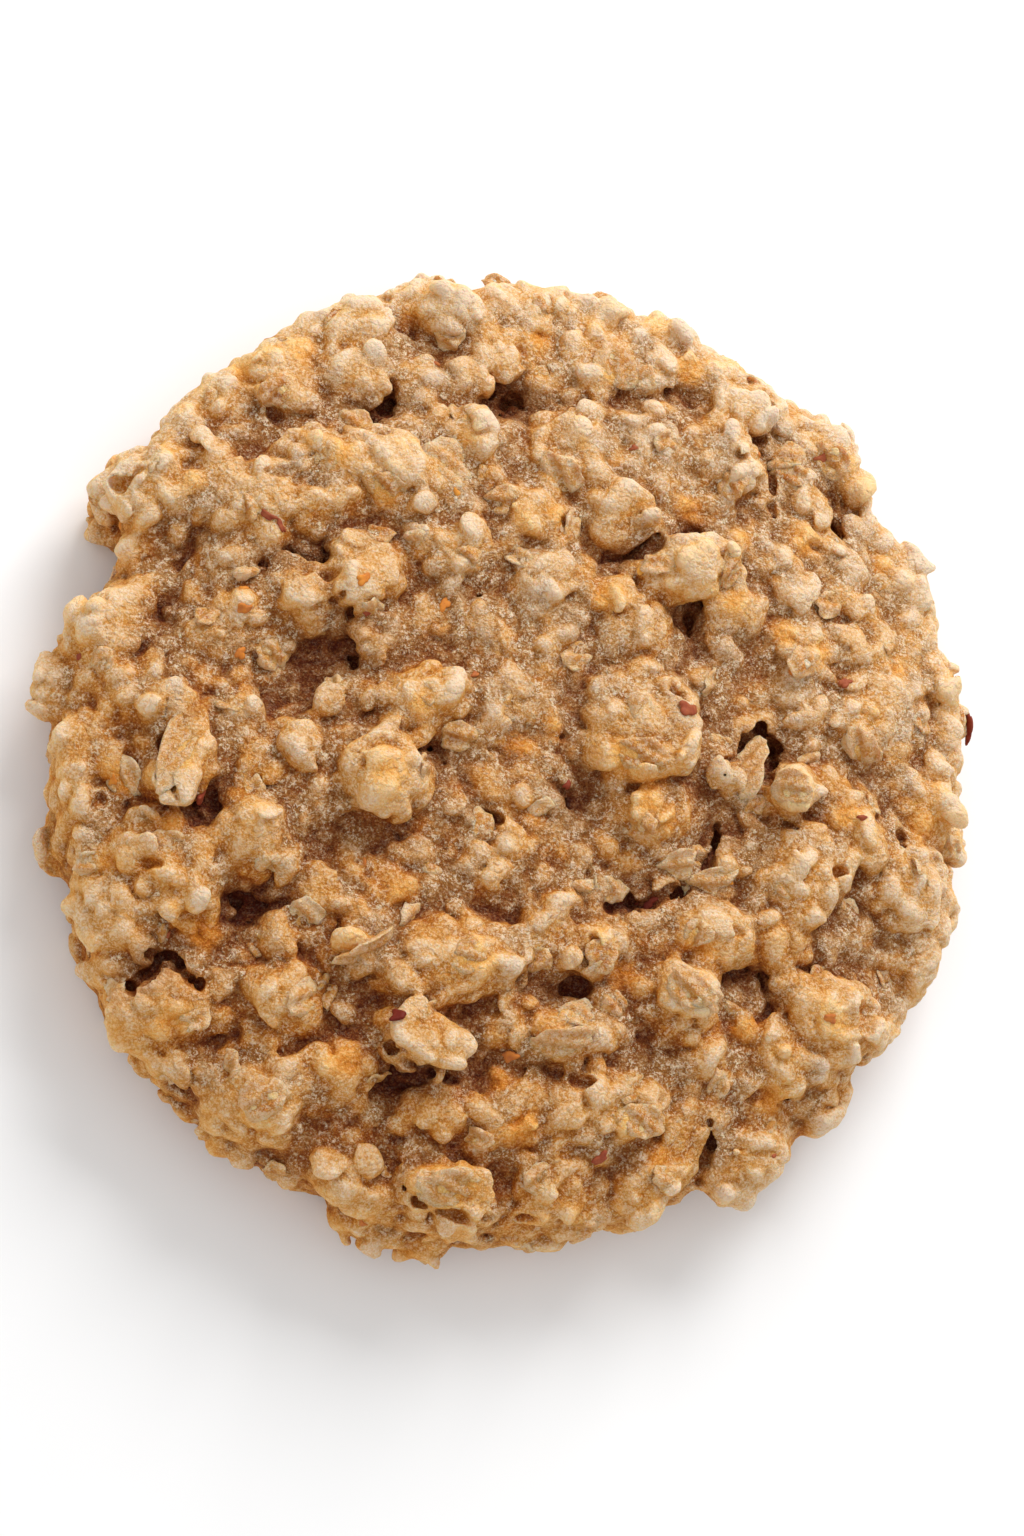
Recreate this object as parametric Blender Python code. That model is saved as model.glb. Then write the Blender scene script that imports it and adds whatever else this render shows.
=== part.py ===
"""An oatmeal pecan cookie, baked as one craggy piece, 130 mm across its lumps and 25 mm thick.

A low round body carries clumps of dough, oats and nuts. The clumps that give this cookie its look are
listed by place and size, and a seeded rule fills the room between them and down the side wall. All of it
is fused into one surface, thinned to a modest number of faces and cut flat underneath.

+Z is the cookie's top. Seen from above, +X points right and +Y away. The origin is under the middle.
"""

import math
import random

import bmesh
import bpy
from mathutils import Euler, Vector, noise

MM = 0.001
SEED = 11

# The body between the clumps: a flattened ball with full shoulders, sunk a little into the baking tray.
BODY_HALF_WIDTH = 61.2 * MM
BODY_HALF_LENGTH = 62.6 * MM
BODY_MIDDLE = 8.0 * MM
BODY_HALF_HEIGHT = 12.5 * MM
BODY_FULLNESS = 2.7
BODY_SEGMENTS = 120
BODY_RINGS = 60

# Clumps: how far their top is squashed, how lumpy they are, and the size of a lump on them.
CLUMP_SQUASH = 0.7
CLUMP_LUMPINESS = 0.22
LUMPS_ACROSS_CLUMP = 1.6
CLUMP_STRETCH = 0.22
CLUMP_TILT = math.radians(18)
CLUMP_DETAIL = 3

# The clumps that fill the room between the listed ones, clear of places lowered by more than this depth.
KEPT_CLEAR_DEPTH = 1.0 * MM
FILL_TRIES = 3000
FILL_RADIUS = (2.8 * MM, 4.8 * MM)
FILL_RISE = (0.8 * MM, 2.0 * MM)
FILL_SPACING = 0.80

# The side wall: tiers of clumps, from the tray up.
WALL_TIERS = (
    # height, how far they stand over the rim, radius, clumps round the wall
    (3.0 * MM, -0.8 * MM, 4.2 * MM, 50),
    (8.0 * MM, 1.4 * MM, 4.5 * MM, 46),
    (12.5 * MM, 0.4 * MM, 4.5 * MM, 44),
)
WALL_JITTER = 0.8 * MM
WALL_SPACING_JITTER = 0.3
WALL_SIZES = (0.8, 1.15)

# How finely the clumps are fused, and what is left of the faces.
FUSE_SIZE = 1.1 * MM
SOFTENING = 0.45
SOFTENING_PASSES = 4
FACES_KEPT = 0.135

# The block that cuts the underside flat.
TRAY_WIDTH = 200 * MM
TRAY_DEPTH = 40 * MM

# The finish: warm tan crust, dull.
DOUGH_COLOUR = (0.45, 0.24, 0.11)
DOUGH_ROUGHNESS = 0.75

# Bulges and dents of the rim: direction and half width in degrees, reach in millimetres, outwards positive.
RIM_BULGES = (
    (6, 3, 2.5), (150, 4, 5.0), (158, 5, -7.0), (187, 3, -0.5), (225, 28, 3.5), (247, 3, -2.0),
    (255, 8, 2.5), (294, 3, -3.0), (300, 3, 1.0), (318, 4, -1.5), (337, 4, 2.0),
)

# Clumps on the top and over the rim, in millimetres: x, y, radius, rise of its top over the body.
CLUMPS = (
    # upper left rim
    (-51, 31, 5.0, 1.5), (-45, 39, 4.5, 1.5), (-40, 44, 5.0, 1.5), (-33, 48, 5.0, 2.0),
    (-30, 53, 4.5, 1.5), (-23, 56, 5.0, 1.5), (-15, 58, 5.5, 2.0), (-10, 56, 4.0, 3.0),
    # upper right rim
    (-1, 59, 6.0, 2.0), (8, 58, 5.0, 1.5), (19, 57, 4.0, 2.5), (25, 52, 5.5, 2.5),
    (31, 48, 4.5, 3.5), (41, 44, 6.0, 2.0), (46, 38, 5.0, 2.0), (52, 29, 4.5, 1.5),
    # right rim
    (56, 12, 5.0, 1.5), (53, -5, 6.0, 2.0), (51, -16, 7.0, 2.5), (53, -29, 4.0, 1.5),
    (47, -35, 5.0, 1.5), (42, -44, 5.0, 1.5), (29, -53, 5.5, 2.0),
    # lower rim
    (17, -54, 5.5, 2.0), (3, -55, 5.5, 2.0), (-11, -58, 6.5, 2.5), (-23, -54, 6.0, 2.0),
    (-34, -47, 4.5, 3.0), (-40, -44, 5.5, 1.0), (-47, -35, 6.5, 2.5), (-52, -25, 5.5, 2.0),
    (-55, -15, 4.5, 1.5), (-56, -4, 5.5, 1.5), (-55, 12, 5.5, 2.0),
    # upper left of the top
    (-34, 46, 3.5, 2.5), (-23, 49, 4.0, 2.5), (-29, 36, 6.0, 2.5), (-22, 35, 5.0, 3.0),
    (-9, 39, 5.0, 2.5), (-41, 32, 6.0, 2.0), (-36, 26, 4.0, 2.5), (-24, 21, 5.0, 3.5),
    (-30, 16, 4.5, 3.0), (-41, 13, 5.5, 1.5), (-48, 1, 5.0, 3.0), (-17, 3, 6.0, 4.0),
    (-11, 24, 6.0, 2.5), (-1, 29, 5.0, 2.5), (-18, 30, 5.0, 2.5),
    # upper right of the top
    (6, 39, 6.5, 2.5), (16, 40, 7.0, 2.5), (26, 40, 7.0, 3.5), (11, 31, 5.0, 2.5),
    (18, 24, 3.5, 4.5), (23, 24, 4.0, 5.0), (26, 19, 4.0, 3.0), (13, 15, 5.5, 3.0),
    (34, 23, 6.0, 2.0), (35, 15, 5.0, 2.5), (35, 7, 5.0, 2.5), (45, 16, 5.0, 1.5), (43, 4, 5.0, 2.0),
    # lower right of the top
    (13, 0, 8.0, 3.5), (14, -10, 7.5, 3.0), (34, -5, 3.5, 4.0), (42, -8, 5.5, 3.0),
    (36, -17, 7.5, 2.5), (23, -24, 4.5, 2.5), (32, -25, 4.5, 2.5), (18, -33, 5.0, 3.0),
    (41, -34, 5.5, 2.5), (32, -40, 6.0, 2.0), (7, -27, 4.5, 2.5), (13, -45, 5.0, 2.0),
    # lower left of the top
    (-22, -5, 5.5, 4.0), (-37, -15, 5.5, 3.5), (-46, -21, 5.0, 3.0), (-47, -6, 6.5, 3.0),
    (-25, -28, 4.5, 3.0), (-13, -29, 6.0, 3.0), (-32, -35, 6.0, 2.5), (-17, -38, 6.5, 3.0),
    (-5, -16, 6.0, 2.0), (-5, -48, 5.0, 2.5), (-27, -44, 5.0, 2.5),
)

# Hollows in the body, where no clump lies, in millimetres: x, y, radius, depth.
HOLLOWS = (
    (-3, 46, 6.0, 3.0), (-19, 44, 3.0, 1.5), (-46, 25, 4.5, 2.0), (-33, 22, 3.5, 2.0),
    (-34, 4, 7.0, 2.5), (-24, 9, 5.0, 1.5), (-39, -23, 5.0, 2.5), (-18, -45, 4.0, 2.5),
    (3, -35, 4.5, 1.5), (29, -32, 4.5, 1.5), (4, 20, 4.0, 1.5), (19, 16, 2.5, 2.5),
    (42, 32, 4.5, 1.5), (17, -20, 3.0, 2.0), (-49, -28, 3.0, 3.0), (-49, 12, 4.0, 1.5),
)


def clear_scene():
    for old in list(bpy.data.objects):
        bpy.data.objects.remove(old, do_unlink=True)


def cookie_material(name, colour, roughness):
    """A dull baked finish."""
    material = bpy.data.materials.new(name)
    material.use_nodes = True
    shader = material.node_tree.nodes["Principled BSDF"]
    shader.inputs["Base Color"].default_value = (*colour, 1.0)
    shader.inputs["Roughness"].default_value = roughness
    shader.inputs["Metallic"].default_value = 0.0
    return material


def rim_radius(angle):
    """The body's radius in this direction, seen from above."""
    across = math.cos(angle) / BODY_HALF_WIDTH
    along = math.sin(angle) / BODY_HALF_LENGTH
    radius = 1.0 / math.hypot(across, along)
    for direction, half_width, outwards in RIM_BULGES:
        away = (math.degrees(angle) - direction + 180.0) % 360.0 - 180.0
        radius += outwards * MM * math.exp(-((away / half_width) ** 2))
    return radius


def body_top(x, y):
    """Height of the body's upper surface at a place, before the hollows."""
    share = min(math.hypot(x, y) / rim_radius(math.atan2(y, x)), 1.0)
    return BODY_MIDDLE + BODY_HALF_HEIGHT * (1.0 - share**BODY_FULLNESS) ** (1.0 / BODY_FULLNESS)


def hollow_depth(x, y):
    """How far the listed hollows lower the body at a place."""
    depth = 0.0
    for hollow_x, hollow_y, radius, deepest in HOLLOWS:
        away = math.hypot(x - hollow_x * MM, y - hollow_y * MM) / (radius * MM)
        depth += deepest * MM * math.exp(-(away**2))
    return depth


def add_body(mesh):
    """The flattened ball with full shoulders, lowered at the hollows."""
    ball = bmesh.ops.create_uvsphere(mesh, u_segments=BODY_SEGMENTS, v_segments=BODY_RINGS, radius=1.0)
    power = 2.0 / BODY_FULLNESS
    for vert in ball["verts"]:
        level = min(math.hypot(vert.co.x, vert.co.y), 1.0)
        angle = math.atan2(vert.co.y, vert.co.x)
        reach = rim_radius(angle) * level**power
        x = reach * math.cos(angle)
        y = reach * math.sin(angle)
        z = BODY_MIDDLE + BODY_HALF_HEIGHT * math.copysign(abs(vert.co.z) ** power, vert.co.z)
        if vert.co.z > 0:
            z -= hollow_depth(x, y)
        vert.co = (x, y, z)


def add_clump(mesh, centre, radius, chance):
    """One lumpy ellipsoid, stretched and turned a little by chance."""
    ball = bmesh.ops.create_icosphere(mesh, subdivisions=CLUMP_DETAIL, radius=1.0)
    stretch = 1.0 + chance.uniform(-CLUMP_STRETCH, CLUMP_STRETCH)
    radii = Vector((radius * stretch, radius / stretch, radius * CLUMP_SQUASH))
    tilt = (chance.uniform(-CLUMP_TILT, CLUMP_TILT) for _ in range(2))
    turn = Euler((*tilt, chance.uniform(0.0, math.tau))).to_matrix()
    elsewhere = Vector([chance.uniform(-50.0, 50.0) for _ in range(3)])
    for vert in ball["verts"]:
        lump = noise.noise(vert.co * LUMPS_ACROSS_CLUMP + elsewhere)
        spot = vert.co * radii * (1.0 + CLUMP_LUMPINESS * lump)
        vert.co = centre + turn @ spot


def add_top_clump(mesh, x, y, radius, rise, chance):
    """A clump whose top stands so far over the body at its place."""
    z = body_top(x, y) + rise - radius * CLUMP_SQUASH
    add_clump(mesh, Vector((x, y, z)), radius, chance)


def add_listed_clumps(mesh, chance):
    for x, y, radius, rise in CLUMPS:
        add_top_clump(mesh, x * MM, y * MM, radius * MM, rise * MM, chance)


def room_for(x, y, radius, placed):
    """True where a filling clump lies clear of the hollows and doesn't sit on top of another clump."""
    if hollow_depth(x, y) > KEPT_CLEAR_DEPTH:
        return False
    for other_x, other_y, other_radius in placed:
        if math.hypot(x - other_x, y - other_y) < FILL_SPACING * (radius + other_radius):
            return False
    return True


def add_filling_clumps(mesh, chance):
    placed = [(x * MM, y * MM, radius * MM) for x, y, radius, _ in CLUMPS]
    for _ in range(FILL_TRIES):
        angle = chance.uniform(0.0, math.tau)
        reach = rim_radius(angle) * math.sqrt(chance.random())
        x = reach * math.cos(angle)
        y = reach * math.sin(angle)
        radius = chance.uniform(*FILL_RADIUS)
        if room_for(x, y, radius, placed):
            add_top_clump(mesh, x, y, radius, chance.uniform(*FILL_RISE), chance)
            placed.append((x, y, radius))


def add_wall_clumps(mesh, chance):
    for height, overhang, radius, count in WALL_TIERS:
        for index in range(count):
            angle = math.tau * (index + chance.uniform(-WALL_SPACING_JITTER, WALL_SPACING_JITTER)) / count
            reach = rim_radius(angle) + overhang - radius + chance.uniform(-WALL_JITTER, WALL_JITTER)
            z = height + chance.uniform(-WALL_JITTER, WALL_JITTER)
            centre = Vector((reach * math.cos(angle), reach * math.sin(angle), z))
            add_clump(mesh, centre, radius * chance.uniform(*WALL_SIZES), chance)


def tray_cutter():
    """The block that cuts the underside flat at z = 0."""
    mesh = bmesh.new()
    bmesh.ops.create_cube(mesh, size=1.0)
    bmesh.ops.scale(mesh, vec=(TRAY_WIDTH, TRAY_WIDTH, TRAY_DEPTH), verts=mesh.verts)
    bmesh.ops.translate(mesh, vec=(0.0, 0.0, -TRAY_DEPTH / 2), verts=mesh.verts)
    data = bpy.data.meshes.new("tray_cutter")
    mesh.to_mesh(data)
    mesh.free()
    cutter = bpy.data.objects.new("tray_cutter", data)
    bpy.context.collection.objects.link(cutter)
    cutter.hide_render = True
    cutter.display_type = "WIRE"
    return cutter


def fuse(cookie, cutter):
    """Joins the overlapping clumps into one surface and cuts it flat underneath."""
    joined = cookie.modifiers.new("fuse clumps", "REMESH")
    joined.mode = "VOXEL"
    joined.voxel_size = FUSE_SIZE
    soft = cookie.modifiers.new("soften creases", "SMOOTH")
    soft.factor = SOFTENING
    soft.iterations = SOFTENING_PASSES
    thinned = cookie.modifiers.new("thin out faces", "DECIMATE")
    thinned.ratio = FACES_KEPT
    flat = cookie.modifiers.new("flat underside", "BOOLEAN")
    flat.operation = "DIFFERENCE"
    flat.object = cutter


def settle(cookie, cutter):
    """Applies the modifiers and moves the mesh so that its middle stands over the origin."""
    graph = bpy.context.evaluated_depsgraph_get()
    settled = bpy.data.meshes.new_from_object(cookie.evaluated_get(graph))
    cookie.modifiers.clear()
    cookie.data = settled
    bpy.data.objects.remove(cutter, do_unlink=True)
    for axis in (0, 1):
        places = [vert.co[axis] for vert in settled.vertices]
        middle = (min(places) + max(places)) / 2
        for vert in settled.vertices:
            vert.co[axis] -= middle
    settled.shade_smooth()


def make_cookie():
    chance = random.Random(SEED)
    mesh = bmesh.new()
    add_body(mesh)
    add_listed_clumps(mesh, chance)
    add_filling_clumps(mesh, chance)
    add_wall_clumps(mesh, chance)
    data = bpy.data.meshes.new("cookie")
    mesh.to_mesh(data)
    mesh.free()
    data.materials.append(cookie_material("baked oat dough", DOUGH_COLOUR, DOUGH_ROUGHNESS))
    cookie = bpy.data.objects.new("cookie", data)
    bpy.context.collection.objects.link(cookie)
    cutter = tray_cutter()
    fuse(cookie, cutter)
    settle(cookie, cutter)


clear_scene()
make_cookie()
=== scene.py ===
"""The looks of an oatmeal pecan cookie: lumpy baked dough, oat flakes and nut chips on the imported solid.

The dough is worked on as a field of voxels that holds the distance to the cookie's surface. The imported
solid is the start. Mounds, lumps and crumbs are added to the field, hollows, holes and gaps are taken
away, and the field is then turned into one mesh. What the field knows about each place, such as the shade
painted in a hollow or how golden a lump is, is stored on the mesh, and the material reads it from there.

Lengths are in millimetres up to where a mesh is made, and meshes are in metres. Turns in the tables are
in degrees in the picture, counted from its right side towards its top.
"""

import math

import bmesh
import bpy
import numpy as np
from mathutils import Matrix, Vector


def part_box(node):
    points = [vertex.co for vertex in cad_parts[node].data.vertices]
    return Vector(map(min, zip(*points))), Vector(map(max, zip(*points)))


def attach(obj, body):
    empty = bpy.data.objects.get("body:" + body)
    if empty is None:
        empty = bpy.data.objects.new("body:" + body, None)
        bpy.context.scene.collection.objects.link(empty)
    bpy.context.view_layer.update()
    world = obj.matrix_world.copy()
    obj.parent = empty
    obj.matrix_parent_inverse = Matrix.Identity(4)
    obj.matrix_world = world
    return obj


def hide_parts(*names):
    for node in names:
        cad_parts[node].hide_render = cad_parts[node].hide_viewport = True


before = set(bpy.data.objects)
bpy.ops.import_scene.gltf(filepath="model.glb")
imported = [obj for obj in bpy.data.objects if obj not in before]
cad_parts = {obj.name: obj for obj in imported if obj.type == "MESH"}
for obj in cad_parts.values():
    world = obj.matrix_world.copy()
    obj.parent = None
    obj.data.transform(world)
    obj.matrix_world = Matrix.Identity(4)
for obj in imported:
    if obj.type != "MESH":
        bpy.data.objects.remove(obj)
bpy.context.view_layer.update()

import openvdb
from mathutils import Matrix, Vector

MM = 0.001
SEED = 20
chance = np.random.default_rng(SEED)

# The picture, and the camera: how far it is turned and tilted from straight above, how far away it is, how
# large the cookie comes out, and the point it aims at with the pixel where that point falls.
PICTURE_WIDTH = 1024
PICTURE_HEIGHT = 1536
SENSOR = 36.0
VIEW_TILT = math.radians(20)
VIEW_TURN = math.radians(215)
CAMERA_DISTANCE = 450.0
PIXELS_PER_MM = 7.62
AIM = np.array([0.0, 0.0, 12.0])
AIM_PIXEL = (526.0, 756.0)

# The field: size of a voxel, room left round the solid, how far from the surface it is exact, and how far
# the solid's facets are smoothed.
VOXEL = 0.36
ROOM = 4.0
BAND = 6.0
FACET_BLUR = 0.9

# The dough is first drawn in by a little, fading out towards the base, because lumps are added all over it.
SHRINK = 0.7
SHRINK_HEIGHT = 3.0

# Named lumps: how much of their rise is used, how much of the crease's softness their radii give up, and how
# far round them, as a share of their size, no lump is scattered.
NAMED_RISE = 0.62
NAMED_TRIM = 0.35
TAKEN_SHARE = 0.42

# Mounds: their radius as a share of their length, the softness of their edge, and how much light is painted
# on them, making them paler.
MOUND_SPREAD = 0.62
MOUND_BLEND = 2.0
MOUND_PAINTED_LIGHT = 0.45

# How far the painted shade of a hollow or the painted light of a mound fades, and how much shade is painted
# in holes and gaps.
SHADE_EDGE = 3.6
HOLE_PAINTED_SHADE = 0.8

# Gaps: softness of the edge, then spacing and stray of the beads as shares of the width, and roughness.
GAP_BLEND = 0.25
GAP_STEP = 0.25
GAP_STRAY = 0.15
GAP_ROUGHNESS = 0.5

# Amber spots: softness and roughness of their edge. Last, how golden plain dough is, and the room left
# round a lump's shape for its roughness.
AMBER_EDGE = 1.2
AMBER_ROUGHNESS = 0.6
PLAIN_TINT = 0.15
SPARE = 0.8

# How a line of sight is searched: from how far before the aim point to how far behind it, and how finely.
SIGHT_BEFORE = 25.0
SIGHT_BEHIND = 35.0
SIGHT_STEP = 0.1

# How a point is moved to the surface: most steps, share of the distance taken at a step, the least step,
# and the distance that is near enough.
MARCH_STEPS = 90
MARCH_SHARE = 0.85
MARCH_LEAST = 0.03
MARCH_NEAR = 0.02

# The grain: its size and how sharp its creases are. Then the size of the underside's pits, and their middle
# depth, how much it varies, and the deepest.
GRAIN_SIZE = 3.0
GRAIN_CREASE = 2.2
BASE_PIT_SIZE = 4.0
BASE_PIT_MIDDLE = 0.25
BASE_PIT_SWING = 0.35
BASE_PIT_DEEPEST = 0.7

# The meshes: most triangles of the crust, rings and steps of a flake, how far a named flake settles into the
# dough and how much it is cupped, and the height under which none is strewn.
FINISH_TRIANGLES = 196000
FLAKE_RINGS = 7
FLAKE_STEPS = 30
SETTLED = 0.15
NAMED_CUP = 0.15
LOWEST_SHAPE = 5.0

# Radii at which the relief of the crust is measured, from fine to broad.
RELIEFS = (("fine_relief", 0.9), ("middle_relief", 2.2), ("broad_relief", 5.5))
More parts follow.
